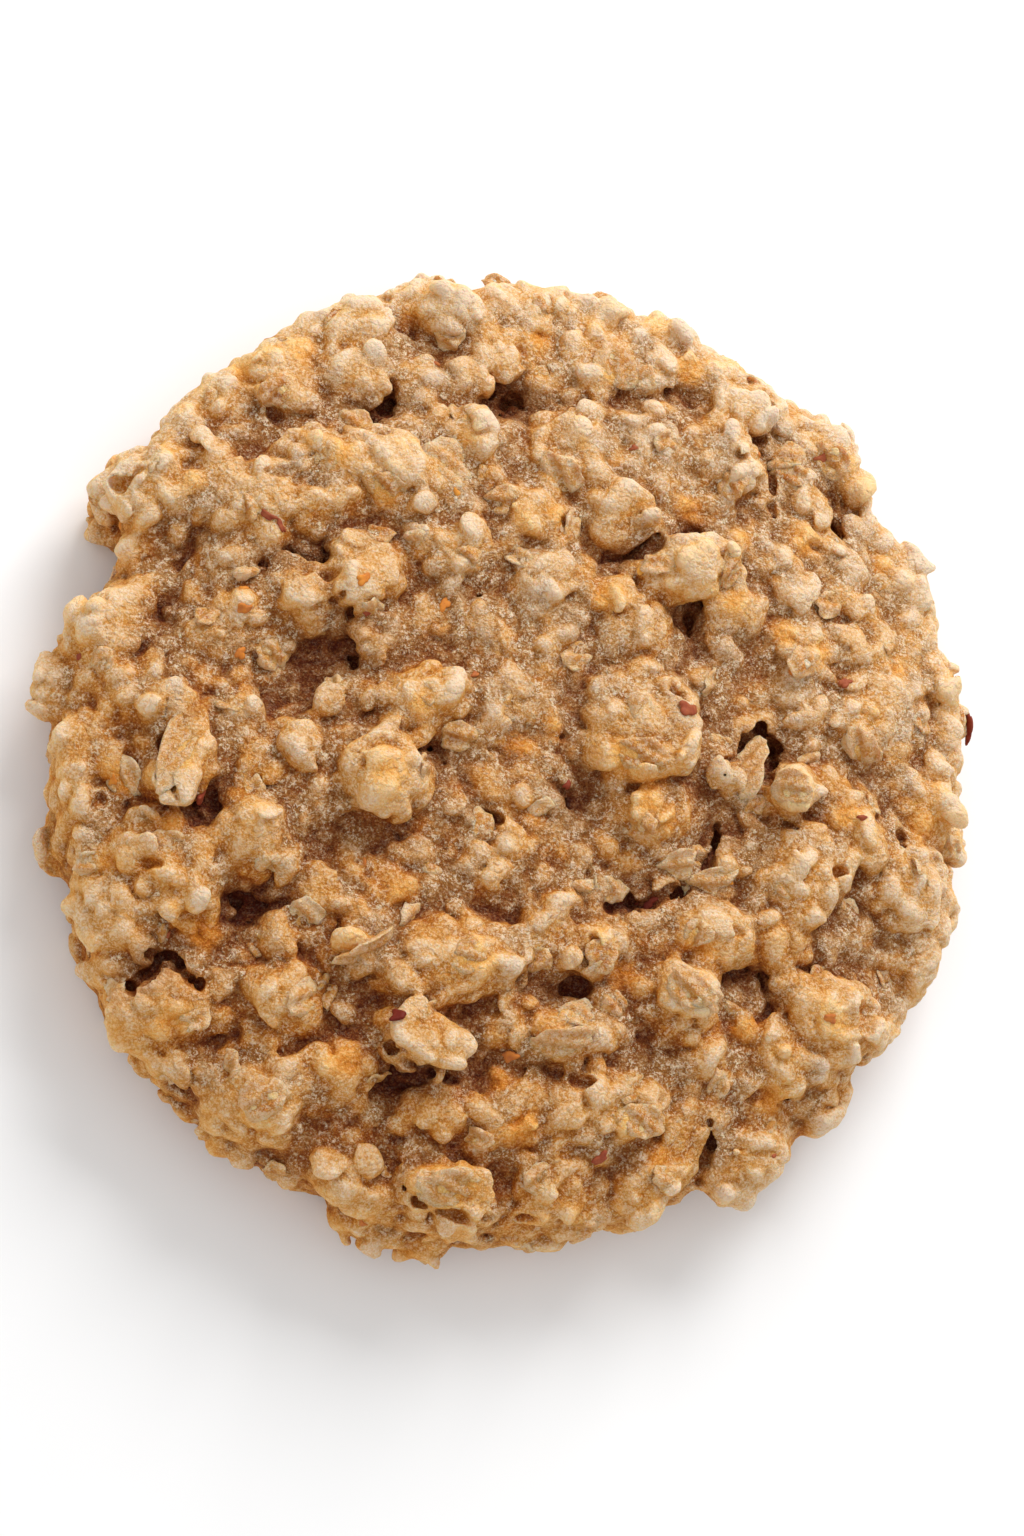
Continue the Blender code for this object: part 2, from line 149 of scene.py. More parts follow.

# Places read from the picture. Each lump has its pixel, its length, width and rise over the dough,
# the turn of its length, and how golden it is from 0 to 1.
ROUND_LUMPS = (
    # upper left
    (298, 325, 6, 3.5, 1.3, 35, 0.7), (300, 352, 8.5, 6, 2, 20, 0.8), (262, 355, 5.5, 4, 1.3, 20, 0.9),
    (275, 391, 4.6, 5.8, 2.2, 80, 1), (315, 405, 7, 6, 1.8, 0, 0.5), (240, 412, 10, 5.6, 1.6, 70, 0.5),
    (277, 452, 9, 4.6, 1.5, 5, 0.7), (205, 402, 8, 6, 1.2, 50, 0.6), (183, 440, 6.5, 5, 1.6, 25, 0.7),
    (135, 480, 10, 5, 1.6, 35, 0.6), (148, 502, 8, 5, 1.5, 30, 0.6), (190, 480, 5.5, 4.2, 1.5, 10, 0.9),
    (230, 466, 3.4, 3.4, 1.1, 0, 0.7), (252, 500, 10.5, 7.5, 1.8, 10, 0.6), (345, 378, 10, 7, 1.5, -10, 0.5),
    (340, 325, 12, 7, 1.4, 10, 0.6), (400, 345, 6, 5, 1.1, 0, 0.2), (352, 535, 4, 3.4, 0.9, 0, 0.1),
    (277, 537, 5, 5, 1.5, 0, 0.6), (340, 455, 11, 4.6, 1.7, -25, 0.8), (385, 488, 7, 4.6, 1.5, -30, 0.9),
    (362, 446, 2.8, 2.8, 1, 0, 0.5), (112, 555, 6, 9, 1.6, 80, 0.5), (148, 552, 6.5, 7.5, 1.4, 0, 0.4),
    (160, 592, 5, 4, 1.1, 0, 0.5), (218, 560, 10, 7.5, 1.4, 75, 0.3), (145, 612, 4, 4, 1.3, 0, 0.3),
    (118, 612, 5, 7, 1.2, 0, 0.5), (148, 660, 4.2, 3.8, 1.6, 0, 0.5), (75, 662, 8, 9, 1.4, 60, 0.6),
    (105, 685, 8.5, 6, 1.7, 10, 0.7), (222, 645, 7, 8, 1.6, 60, 0.4), (268, 602, 8, 5.5, 1.3, 0, 0.4),
    (275, 642, 8, 4.6, 1.3, -10, 0.4), (318, 592, 6, 5, 1.6, 0, 0.5), (336, 632, 5, 4.4, 1.5, 0, 0.3),
    (185, 703, 5, 4, 1.3, 40, 0.8), (250, 740, 4, 4.4, 0.9, 80, 0.1), (200, 610, 6, 4, 0.8, 0, 0.1),
    # top
    (428, 287, 7, 6, 1.5, 10, 0.6), (482, 292, 9, 5.6, 1.4, -20, 0.6), (411, 312, 3.2, 3.8, 1.2, 80, 1),
    (448, 325, 9, 8.4, 2.4, 0, 0.6), (422, 373, 7, 6.4, 1.6, 0, 0.4), (552, 290, 10, 6, 1.5, 0, 0.7),
    (655, 323, 5.6, 5.2, 2, 0, 0.9), (693, 341, 6, 5, 1.3, -30, 0.6), (532, 352, 11, 8, 1.9, -50, 0.7),
    (616, 366, 8.5, 8.5, 2.1, -60, 0.9), (693, 372, 12, 5.6, 2, -5, 0.9), (572, 343, 5, 3, 1, -40, 0.8),
    (538, 432, 8, 6, 1.6, 60, 0.8), (578, 415, 6, 4.8, 1.4, -40, 0.6), (690, 428, 11, 6.6, 1.2, 0, 0.4),
    (562, 475, 8.6, 5.6, 1.8, -35, 0.8), (447, 462, 7.6, 7, 1, 0, 0.3), (468, 437, 4.4, 3, 1.1, -25, 0.9),
    (688, 510, 6, 5, 1.4, 30, 0.9), (522, 517, 5, 4, 1.2, 0, 0.9), (485, 508, 5, 4, 1, 0, 0.6),
    (660, 488, 12, 6, 1.2, -5, 0.6), (520, 552, 6, 5.4, 1.1, 80, 0.1), (600, 445, 8, 5, 0.9, -30, 0.3),
    # upper right
    (742, 368, 7, 6, 1.7, -40, 0.8), (778, 393, 6, 5, 1.2, -30, 0.6), (815, 428, 13, 6.4, 1.3, -35, 0.5),
    (786, 457, 6, 4.4, 1.8, 25, 0.9), (842, 462, 9.5, 6.5, 1.9, -30, 0.9), (870, 492, 5, 7, 1.4, 80, 0.9),
    (890, 536, 10, 7, 1.8, -10, 0.7), (808, 536, 7.6, 6.4, 2.1, -20, 0.8), (738, 536, 4.4, 3.4, 1.3, 10, 0.9),
    (880, 570, 6, 3.8, 1.2, 0, 0.6), (790, 574, 6, 5, 1.2, 60, 0.4), (832, 600, 7, 5.6, 1.3, 10, 0.6),
    (735, 603, 8, 6.2, 1.9, -20, 0.8), (815, 500, 6, 5, 1.2, 0, 0.4), (662, 622, 9, 5.6, 1.5, 80, 0.7),
    (786, 632, 8, 4.6, 1.7, 0, 0.8), (822, 650, 5.6, 4, 1.6, -50, 0.9), (750, 700, 13, 8, 1.4, -30, 0.6),
    (905, 662, 8, 5.2, 1.6, -25, 0.8), (945, 660, 7, 5, 1.2, 75, 0.5), (862, 746, 7, 4.8, 1.7, -50, 1),
    (916, 735, 15, 9, 1.5, 85, 0.4), (906, 620, 7, 6, 1.2, 80, 0.4), (880, 690, 8, 5, 1.2, -30, 0.5),
    # middle
    (385, 572, 12, 6.8, 2.2, 20, 0.7), (442, 597, 5, 5, 1.3, 0, 0.5), (490, 580, 7, 4.4, 1.2, -5, 0.2),
    (558, 580, 8, 5, 1.3, -20, 0.6), (517, 631, 6.5, 4.4, 1.4, 10, 0.5), (575, 664, 11, 7, 1.4, -30, 0.6),
    (650, 700, 9, 10, 1.2, 0, 0.5), (434, 688, 8, 5.6, 1.9, 20, 0.8), (458, 736, 5, 4, 1.2, 0, 0.9),
    (525, 748, 9, 4.6, 1.7, 5, 0.9), (560, 714, 8, 5, 1.1, 0, 0.6), (640, 756, 11, 5.6, 1.7, -5, 1),
    (356, 615, 7, 3, 1.2, -75, 0.7), (398, 814, 5, 4, 1.1, 0, 0.7), (365, 812, 4.4, 3.8, 0.9, 0, 0.2),
    (430, 830, 4.6, 4, 1, 0, 0.1), (470, 838, 6, 5.6, 1.2, 50, 0.7), (455, 858, 4.6, 3, 1, 0, 0.6),
    (525, 819, 5.6, 3.4, 1, 5, 0.7), (545, 850, 12, 5.6, 1.1, 15, 0.6), (488, 886, 7, 6, 1.3, 60, 0.8),
    (570, 905, 8, 3.8, 1.2, 5, 0.7), (432, 925, 8, 6.4, 1.5, 60, 0.7), (461, 932, 5, 4.2, 1.2, 0, 0.6),
    (468, 972, 12, 7.6, 1.8, 10, 0.8), (603, 955, 6, 4.8, 1.8, 80, 1), (628, 983, 5.6, 4.2, 1.5, 80, 0.9),
    (548, 948, 9, 8, 1.2, 80, 0.4), (522, 1004, 8, 5.2, 1.6, 0, 0.8), (385, 985, 8, 6, 1.2, 0, 0.3),
    (652, 935, 8, 6, 1.1, 0, 0.4), (705, 942, 8.6, 7.6, 1.6, -20, 0.9), (776, 943, 10, 7.6, 1.8, -25, 0.9),
    (680, 805, 13, 8, 1.3, 10, 0.6), (620, 815, 6, 5, 1, 0, 0.5), (300, 790, 11, 8, 1, 10, 0.3),
    (330, 835, 7, 5, 1.1, 20, 0.5), (285, 880, 9, 4.6, 1.2, 10, 0.5), (250, 852, 10, 7, 1.6, 80, 0.7),
    # right
    (848, 812, 15, 6.6, 1.8, -55, 0.7), (752, 842, 8.5, 5, 1.3, 30, 0.6), (925, 824, 9, 6.6, 1.7, -35, 0.9),
    (808, 880, 12, 8.4, 1.6, 80, 0.6), (893, 884, 13, 10, 1.7, -30, 0.5), (965, 800, 9, 5.6, 1.2, 75, 0.6),
    (650, 1015, 12, 8.6, 1.6, -45, 0.7), (742, 1030, 8, 6.4, 1.6, -20, 0.8),
    (835, 1024, 10.6, 9.4, 1.9, -30, 0.8), (865, 988, 7, 6.6, 1.5, -40, 0.7),
    (786, 1058, 9.6, 6.6, 1.6, -60, 0.8), (885, 1040, 7, 5.6, 1.6, 10, 0.6),
    (940, 974, 8, 6.4, 1.6, 60, 0.5), (905, 1008, 7, 5.6, 1.3, 60, 0.4), (808, 990, 5, 4.6, 1, 0, 0.3),
    (728, 1085, 10, 8, 1.3, 0, 0.6), (775, 1096, 7, 6.6, 1.3, 0, 0.8), (822, 1110, 6, 7, 1.3, 0, 0.4),
    (838, 1078, 7, 6, 1.2, 60, 0.4), (792, 1140, 6, 6, 1.2, 40, 0.5), (745, 1158, 11, 8, 1.4, 0, 0.4),
    # left wall
    (85, 730, 8.6, 6, 1.5, 20, 0.6), (62, 800, 12, 8, 1.6, 80, 0.4), (86, 812, 8, 8, 1.3, 0, 0.4),
    (122, 776, 8.4, 6, 2, -40, 0.8), (165, 822, 8, 6.8, 2.1, -10, 0.5), (112, 820, 4, 3.6, 1.3, 80, 0.7),
    (112, 860, 7, 6.6, 1.7, 70, 0.8), (162, 878, 4.4, 4, 1.6, 0, 0.4), (192, 883, 7, 4.6, 1.6, 15, 0.8),
    (80, 880, 8.4, 4.6, 1.6, 80, 0.5), (57, 880, 7.6, 4, 1.3, 80, 0.4), (145, 914, 6, 6, 1.5, 0, 0.5),
    (86, 908, 5, 4, 1, 0, 0.4), (112, 940, 8, 7, 1.9, -20, 0.5), (142, 960, 5.6, 5, 1.4, 0, 0.4),
    (92, 975, 9, 6.6, 1.5, -50, 0.3), (206, 930, 9, 8, 1.6, 80, 0.7), (262, 976, 6, 5, 1.2, -30, 0.5),
    (168, 1020, 13, 10, 2.1, 10, 0.8), (298, 995, 9, 7.6, 1.6, 30, 0.7), (240, 1018, 6, 5, 1.3, 0, 0.6),
    # bottom
    (345, 1060, 11, 6.6, 1.7, 10, 0.8), (262, 1100, 7, 6.4, 2, 60, 0.9), (282, 1067, 3.6, 2.6, 1, 20, 0.6),
    (318, 1108, 8, 4.8, 1.3, 0, 0.7), (345, 1134, 10, 6.6, 1.5, 0, 0.6), (348, 1170, 6.6, 6, 1.6, 0, 0.8),
    (312, 1190, 7, 6, 1.4, 60, 0.6), (215, 1110, 7, 8, 1.3, 70, 0.5), (255, 1150, 13, 5, 0.9, -15, 0.3),
    (375, 1108, 7, 6, 1.1, 0, 0.2), (315, 1062, 7, 5.6, 1.2, 50, 0.6), (450, 1116, 6.6, 6.8, 1.8, 0, 0.7),
    (496, 1078, 6, 5.4, 1.4, 0, 0.9), (525, 1126, 10, 7.6, 1.8, 10, 0.8), (557, 1176, 10, 7.6, 1.6, 25, 0.6),
    (637, 1122, 8, 4.6, 1.6, -10, 1), (655, 1160, 8, 6, 1.4, -20, 0.7), (632, 1068, 5, 4.4, 1.2, 80, 0.4),
    (605, 1208, 6, 4, 1, -20, 0.4), (580, 1224, 9, 4.6, 1.2, 0, 0.5), (500, 1230, 7, 4.4, 1.3, 10, 0.4),
    (430, 1226, 10, 4.6, 1.2, 0, 0.4), (655, 1214, 7, 4.6, 1.2, 40, 0.5), (610, 1045, 6, 5, 0.9, 0, 0.1),
)

# The same for chunks with flatter tops and steep sides.
BLOCKS = (
    (745, 412, 7.6, 6.6, 2.2, 0, 0.6), (742, 492, 9, 7.6, 1.3, 85, 0.4), (330, 512, 11, 7, 2.1, 0, 0.8),
    (625, 518, 10, 8, 2, 60, 0.6), (792, 790, 6, 5.6, 2.5, 0, 1), (385, 772, 7.4, 5.6, 2.3, 70, 0.9),
    (610, 594, 7.6, 5.4, 2.1, 5, 0.8), (183, 752, 15, 6.2, 1.9, 85, 0.6), (690, 1135, 10, 6, 1.6, 75, 0.7),
    (432, 1036, 11.5, 6.6, 1.8, -12, 0.4), (450, 1190, 11.5, 6.6, 2, -5, 0.8),
    (686, 990, 7.6, 6.6, 1.6, -20, 0.9),
    (659, 572, 6, 5.4, 2.4, 30, 1), (699, 562, 7, 6.2, 2.9, 20, 1), (690, 586, 8, 5.6, 2.3, 10, 0.9),
)

# Broad gentle mounds: pixel, length, width, rise, turn.
MOUNDS = (
    (240, 492, 12, 7, 1.2, 10), (345, 478, 18, 8, 1.3, 5), (445, 482, 11, 8, 1, 0),
    (640, 485, 18, 9, 1.3, -10), (645, 715, 12, 13, 1.4, 0), (800, 868, 13, 9, 1.4, 20),
    (905, 860, 9, 9, 1, 0), (555, 1030, 10, 6.5, 1.2, 0), (385, 775, 9, 7, 1.1, 0),
    (560, 1118, 20, 8, 1.2, 0), (458, 960, 16, 8, 1.2, 12), (520, 675, 14, 8, 1, 60),
    (880, 700, 12, 9, 0.9, 60), (265, 1082, 9, 7, 1.3, 20), (620, 345, 16, 8, 1, -20),
    (705, 940, 10, 8, 1, 0), (835, 1030, 12, 10, 1, 0), (300, 785, 9, 7, 0.8, 0),
    (120, 880, 12, 9, 1, 60), (170, 850, 9, 7, 1, 0), (560, 590, 10, 8, 0.8, -20),
)

# Hollows between them: pixel, length, width, depth, turn, and how much shade is painted on the dough there
# from 0 to 1.
HOLLOWS = (
    (500, 397, 10, 6, 1.7, -30, 0.9), (455, 342, 8, 6, 1.4, 60, 0.9), (415, 332, 6, 5, 0.9, 0, 0.8),
    (308, 366, 6.5, 4, 1.2, 0, 0.6), (385, 405, 9, 5, 1.4, 20, 0.9), (325, 418, 7, 3.6, 0.9, -30, 0.4),
    (240, 450, 7.5, 3.6, 1.1, -20, 0.5), (300, 560, 13, 4.4, 1.8, 12, 0.9), (235, 578, 7, 3.6, 1, 20, 0.5),
    (330, 657, 14, 7, 1.3, 15, 0.8), (375, 625, 9, 7, 1.2, 0, 0.9), (320, 610, 5, 5, 1.2, 80, 0.7),
    (168, 603, 7, 4.4, 1.2, 80, 0.8), (160, 648, 8, 5, 1.2, -10, 0.9), (360, 714, 8, 4.6, 1.2, -20, 0.6),
    (432, 746, 9, 3.6, 1, -40, 0.4), (480, 800, 9, 3.6, 1, -45, 0.5), (562, 797, 7.5, 5, 1.6, -10, 0.9),
    (562, 745, 5, 4, 0.8, 60, 0.5), (212, 803, 8.5, 6, 1.3, 40, 0.7), (110, 795, 5, 3, 0.8, 0, 0.5),
    (95, 748, 4.4, 3, 0.8, 60, 0.4), (250, 907, 12, 5.6, 1.8, -5, 0.9), (265, 955, 6.5, 4, 0.9, -20, 0.5),
    (335, 925, 6, 5, 0.9, 0, 0.5), (390, 840, 10, 5, 0.6, 10, 0.3), (330, 852, 5, 4, 0.6, 0, 0.3),
    (625, 902, 10, 4.4, 1.6, 5, 0.9), (598, 870, 4.4, 3.6, 1.1, 60, 0.8), (725, 838, 8.5, 6, 1.3, 45, 0.7),
    (776, 750, 5.5, 5, 1.3, 60, 0.7), (705, 640, 7.5, 5, 1.3, -50, 0.7), (625, 553, 8, 3.6, 1.6, 30, 0.8),
    (680, 533, 7, 3, 1.1, 5, 0.6), (755, 445, 8, 4.2, 1.5, 10, 0.7), (830, 492, 9, 6, 1.1, -40, 0.8),
    (550, 440, 5, 4, 0.8, 40, 0.5), (607, 397, 7.5, 3.4, 1.1, 10, 0.6), (680, 396, 6, 3, 0.9, -10, 0.4),
    (150, 972, 14, 6.5, 2.2, 35, 1), (185, 1090, 7, 6, 1.2, 0, 1), (270, 1162, 12, 6, 1.2, 10, 1),
    (408, 1075, 10, 5.6, 2, -15, 1), (575, 986, 6.5, 4.2, 1, 0, 0.4), (745, 970, 10, 4.2, 1.2, -5, 0.5),
    (820, 965, 5.5, 4, 0.9, 60, 0.5), (480, 1000, 4.4, 4, 0.7, 0, 0.4), (505, 918, 7.5, 3.2, 0.7, 0, 0.3),
    (560, 1070, 9, 3.2, 1, 5, 0.5), (480, 1070, 5.5, 3.5, 0.8, 0, 0.5), (715, 1172, 5, 4, 1.2, 80, 0.7),
    (640, 1030, 8, 3.2, 0.9, -45, 0.4), (850, 526, 8, 4, 1.2, 60, 0.5), (192, 545, 6, 3.6, 1, 80, 0.5),
    (225, 1040, 6, 3.4, 0.9, 0, 0.5), (850, 635, 5.5, 3.2, 0.8, 0, 0.4), (520, 640, 4.4, 4, 0.7, 0, 0.4),
    (578, 594, 5, 4, 1, 0, 0.4), (772, 1012, 6, 3.6, 0.9, 0, 0.5), (820, 1092, 6, 3.6, 1, 0, 0.6),
)

# Small dark openings between lumps, taken out last, with shade painted in them: pixel, length, width, depth,
# turn.
HOLES = (
    (276, 416, 3.4, 2, 1.4, -20), (298, 562, 5, 2.6, 1.8, 5), (335, 572, 3.4, 1.3, 1, 20),
    (343, 596, 3, 2.2, 2, 60), (642, 548, 6, 2.4, 2.4, 50), (697, 607, 3.6, 2.2, 2.6, 25),
    (690, 622, 5.4, 1.7, 2.6, 85), (759, 444, 3.6, 1.7, 1.5, 40), (734, 458, 2.2, 1.3, 0.7, 0),
    (684, 692, 3.3, 2, 2.8, 15), (689, 699, 1.8, 1.3, 2.2, -60), (745, 735, 2.4, 1.5, 2, 10),
    (744, 746, 3, 1, 1.6, 75), (735, 757, 2, 0.7, 0.8, 40), (902, 842, 2.7, 1.3, 1.4, 70),
    (845, 870, 1.6, 0.8, 0.8, 10), (484, 815, 2.2, 1.3, 1.2, -30), (573, 990, 3.6, 2, 1.8, 10),
    (588, 957, 2.5, 0.6, 1, -80), (613, 968, 2, 0.6, 1, 20), (205, 816, 4.2, 1, 1, -25),
    (107, 727, 2.2, 1.1, 0.9, -20), (105, 803, 2.2, 1.1, 0.8, 0), (147, 864, 2.5, 1.4, 1, 50),
    (708, 1166, 5, 1.8, 2, 75), (789, 1099, 2.2, 0.8, 0.8, 20), (761, 1062, 1.9, 0.7, 0.7, -80),
    (870, 1016, 3.4, 1.3, 1.3, 50), (872, 1052, 2, 0.8, 0.8, 85), (577, 1078, 2, 1.1, 1, 0),
    (545, 675, 1.5, 0.5, 0.6, 0), (556, 684, 1.4, 0.4, 0.6, -20), (475, 595, 2.2, 0.5, 0.6, 0),
    (635, 1103, 2, 1, 0.8, -30), (740, 927, 1.5, 0.6, 0.7, -60), (382, 1221, 2, 1.1, 0.8, 20),
    (270, 834, 1.5, 0.6, 0.6, 0), (386, 408, 2.9, 1.1, 1, 20),
)

# Oat flakes that stand clear: pixel, length, width, turn, lean along the length and roll round it in degrees,
# curl, lift off the dough, and tone from 0 for amber to 1 for cream.
FLAKES = (
    (413, 539, 3.6, 2.4, 20, 5, 10, -0.2, 0.15, 0.9), (306, 914, 4.8, 4.4, -20, 8, 15, -0.3, 0.2, 0.9),
    (365, 950, 9, 4.2, 25, 6, 40, -0.8, 0.2, 0.5), (412, 915, 5, 3.4, 70, 8, 20, -0.4, 0.25, 0.9),
    (582, 890, 4.6, 2.8, 10, 0, 20, -0.2, 0.1, 0.7), (557, 1043, 10, 4.2, 15, 4, 24, -1.2, 0.4, 0.7),
    (675, 866, 6.2, 4.4, 30, 10, 10, -0.5, 0.35, 0.9), (708, 884, 8, 3.8, 25, 6, 28, -0.7, 0.3, 0.8),
    (750, 768, 9, 4.8, 75, 6, -30, -0.6, 0.45, 0.7), (447, 462, 7.4, 6.8, 0, 2, 4, -0.4, 0.05, 0.8),
    (469, 957, 5, 4.2, 15, 8, 12, -0.3, 0.15, 0.6), (303, 997, 5.4, 4.4, 40, 6, 14, -0.3, 0.15, 0.7),
    (640, 1121, 7.6, 4.4, -10, 6, 14, -0.5, 0.2, 0.4), (578, 1014, 5.4, 3.8, 15, 6, 16, -0.3, 0.2, 0.9),
    (262, 1098, 6.4, 5.4, 60, 6, 12, -0.5, 0.35, 0.4), (352, 425, 6.2, 4, -20, 10, 30, -0.9, 0.3, 0.4),
    (830, 460, 6.4, 4.4, -30, 6, 14, -0.4, 0.15, 0.4), (500, 500, 4.6, 3.6, 20, 6, 10, -0.3, 0.1, 0.6),
    (275, 391, 4.8, 4, 80, 8, 20, -0.5, 0.4, 0.1), (385, 486, 6, 4, -30, 6, 12, -0.4, 0.15, 0.3),
    (562, 472, 6.4, 4.4, -35, 6, 12, -0.4, 0.15, 0.6), (792, 788, 5.6, 4.8, 20, 4, 10, -0.3, 0.3, 0.6),
    (690, 990, 6.4, 4.8, -20, 6, 14, -0.4, 0.2, 0.5), (786, 457, 5.6, 4, 25, 8, 12, -0.4, 0.2, 0.5),
    (122, 776, 6.6, 4.8, -40, 8, 16, -0.5, 0.25, 0.7), (640, 754, 8, 4.2, -5, 6, 14, -0.4, 0.1, 0.3),
    (458, 736, 5, 4, 10, 6, 12, -0.3, 0.2, 0.3), (862, 746, 6.4, 4.2, -50, 8, 14, -0.4, 0.2, 0.6),
    (450, 1188, 9, 5.4, -5, 4, 10, -0.6, 0.2, 0.6), (602, 955, 5, 4, 80, 10, 10, -0.3, 0.25, 0.2),
    (616, 366, 7, 5.4, -60, 6, 12, -0.5, 0.2, 0.5), (178, 745, 13, 4.6, 85, 2, 18, -0.6, 0.15, 0.6),
)

# Chips of pecan and its skin, with the same numbers: tone 0 dark red, 0.3 red brown, 0.6 orange, 1 yellow.
CHIPS = (
    (363, 579, 2, 1.4, 30, 0, 10, 0, 0.15, 0.6), (444, 605, 1.9, 1.3, 60, 0, 10, 0, 0.15, 0.6),
    (244, 608, 2, 1.3, 10, 0, 10, 0, 0.1, 0.55), (240, 653, 1.8, 1.2, 40, 0, 10, 0, 0.1, 0.55),
    (268, 515, 2.4, 0.9, -30, 0, 10, 0, 0.05, 0.25), (281, 526, 1.9, 0.8, -50, 0, 10, 0, 0.05, 0.25),
    (822, 458, 2.2, 1.2, 20, 0, 10, 0, 0.1, 0.3), (510, 1056, 2.2, 1.4, 10, 0, 10, 0, 0.1, 0.5),
    (600, 1158, 2.2, 1.3, 40, 0, 10, 0, 0.15, 0.25), (200, 797, 3.2, 1.5, -40, 0, 20, 0, 0.2, 0.2),
    (830, 1018, 1.8, 1.2, 0, 0, 10, 0, 0.1, 0.5), (845, 683, 2, 1.1, 30, 0, 10, 0, 0.1, 0.3),
    (398, 1016, 2, 1.7, 0, 0, 0, 0, 0.2, 0.0), (972, 728, 4.4, 1.9, 78, 6, 10, -0.2, 0.2, 0.1),
    (688, 709, 2.8, 2, 10, 0, 10, 0, 0.1, 0.28), (645, 904, 3.4, 1.5, 20, 0, 10, 0, -0.1, 0.05),
    (634, 448, 1.2, 0.8, 10, 0, 10, 0, 0.05, 0.3),
)

# Smooth amber spots: pixel and size.
AMBER_SPOTS = (
    (421, 704, 4.4), (517, 746, 4.2), (551, 720, 2.8), (629, 755, 5.4), (650, 800, 4.6), (671, 822, 3.4),
    (399, 896, 3.4), (362, 946, 4.6), (389, 773, 4.2), (605, 950, 4.4), (623, 977, 3.6), (703, 940, 4.4),
    (474, 960, 4.2), (698, 992, 3.6), (533, 816, 3.4), (418, 827, 2.8), (900, 670, 4), (542, 340, 4),
    (557, 512, 3.4), (275, 391, 4.4), (240, 372, 3.6), (265, 350, 3.6), (410, 312, 3), (655, 323, 3.6),
    (614, 372, 4.4), (690, 372, 4.6), (385, 490, 4.6), (470, 437, 3.6), (690, 510, 4.4), (522, 517, 3.4),
    (610, 596, 5), (735, 604, 4.4), (745, 538, 3.4), (787, 458, 4.4), (842, 462, 4.6), (868, 494, 4),
    (808, 538, 4.4), (882, 570, 3.6), (786, 634, 4.2), (822, 652, 4), (862, 748, 4.2), (792, 792, 4.6),
    (925, 826, 4.4), (848, 815, 4.6), (582, 444, 3), (410, 893, 3), (192, 482, 3.6), (340, 456, 4.4),
    (300, 352, 4.4), (122, 778, 4.4), (112, 862, 3.8), (165, 822, 4), (262, 1100, 5), (345, 1062, 4.4),
    (450, 1190, 5), (496, 1078, 3.8), (637, 1122, 5), (525, 1128, 4.4), (775, 1098, 4.2), (660, 1160, 4),
    (183, 752, 4.6), (206, 932, 4.2), (170, 1020, 4.6), (557, 1040, 4.6), (742, 1030, 4), (835, 1026, 4.4),
)

# Gaps that run along a line of pixels, with their width and depth. Shade is painted in them.
GAPS = (
    (((758, 731), (767, 738), (772, 752), (771, 766), (766, 777)), 2, 3.2),
    (((717, 828), (713, 846), (708, 866)), 1.3, 1.8),
    (((612, 908), (630, 905), (650, 902), (668, 897), (688, 889)), 1.7, 2.2),
    (((166, 700), (163, 740), (166, 775), (176, 798), (196, 812)), 0.9, 1.3),
    (((128, 990), (146, 972), (164, 954), (180, 968), (196, 984)), 2.2, 2.8),
    (((386, 1046), (404, 1060), (430, 1072), (458, 1082)), 1.2, 1.4),
    (((710, 1120), (711, 1144), (708, 1164)), 0.9, 1.3),
    (((770, 462), (773, 490), (774, 522)), 0.8, 1.3),
    (((405, 1190), (430, 1210), (470, 1222), (520, 1222), (538, 1219)), 0.8, 1),
    (((120, 488), (140, 470), (158, 462)), 0.6, 0.7),
    (((268, 472), (285, 474), (300, 466), (315, 452)), 0.8, 0.9),
)


# ---- the camera's geometry

def view_axes():
    """Unit vectors towards the camera, to the picture's right and to its top."""
    towards = np.array([
        math.sin(VIEW_TILT) * math.cos(VIEW_TURN),
        math.sin(VIEW_TILT) * math.sin(VIEW_TURN),
        math.cos(VIEW_TILT),
    ])
    right = np.cross([0.0, 1.0, 0.0], towards)
    right /= np.linalg.norm(right)
    return towards, right, np.cross(towards, right)


TOWARDS, RIGHT, UP = view_axes()
EYE = AIM + TOWARDS * CAMERA_DISTANCE

# The picture's lower left, the side away from the key lamp, towards which shade is painted on the dough,
# between these two lengths from the middle, and the heights between which painted shade darkens the wall
# towards its foot. The material works in metres.
PAINTED_SHADE_SIDE = tuple((-0.6 * RIGHT - 0.8 * UP).tolist())
PAINTED_SHADE_REACH = (-60.0 * MM, 64.0 * MM)
WALL_SHADE_HEIGHTS = (12.0 * MM, 1.0 * MM)


def sight_line(pixel_x, pixel_y):
    """Direction from the eye through a pixel of the picture."""
    across = (pixel_x - AIM_PIXEL[0]) / PIXELS_PER_MM
    upward = (AIM_PIXEL[1] - pixel_y) / PIXELS_PER_MM
    line = RIGHT * across + UP * upward - TOWARDS * CAMERA_DISTANCE
    return line / np.linalg.norm(line)


# ---- the field

def blurred(values, radius):
    """The array smoothed like a bell curve of this radius in voxels, by three runs of a box blur."""
    half = max(1, int(round(radius)))
    width = 2 * half + 1
    for axis in range(3):
        for _ in range(3):
            padding = [(0, 0)] * 3
            padding[axis] = (half + 1, half)
            summed = np.cumsum(np.pad(values, padding, mode="edge"), axis=axis, dtype=np.float64)
            ahead = [slice(None)] * 3
            behind = [slice(None)] * 3
            ahead[axis] = slice(width, None)
            behind[axis] = slice(None, -width)
            values = ((summed[tuple(ahead)] - summed[tuple(behind)]) / width).astype(np.float32)
    return values


def points_of(mesh, kind=float):
    """The mesh's points in millimetres."""
    points = np.empty(len(mesh.vertices) * 3, kind)
    mesh.vertices.foreach_get("co", points)
    return points.reshape(-1, 3) / MM


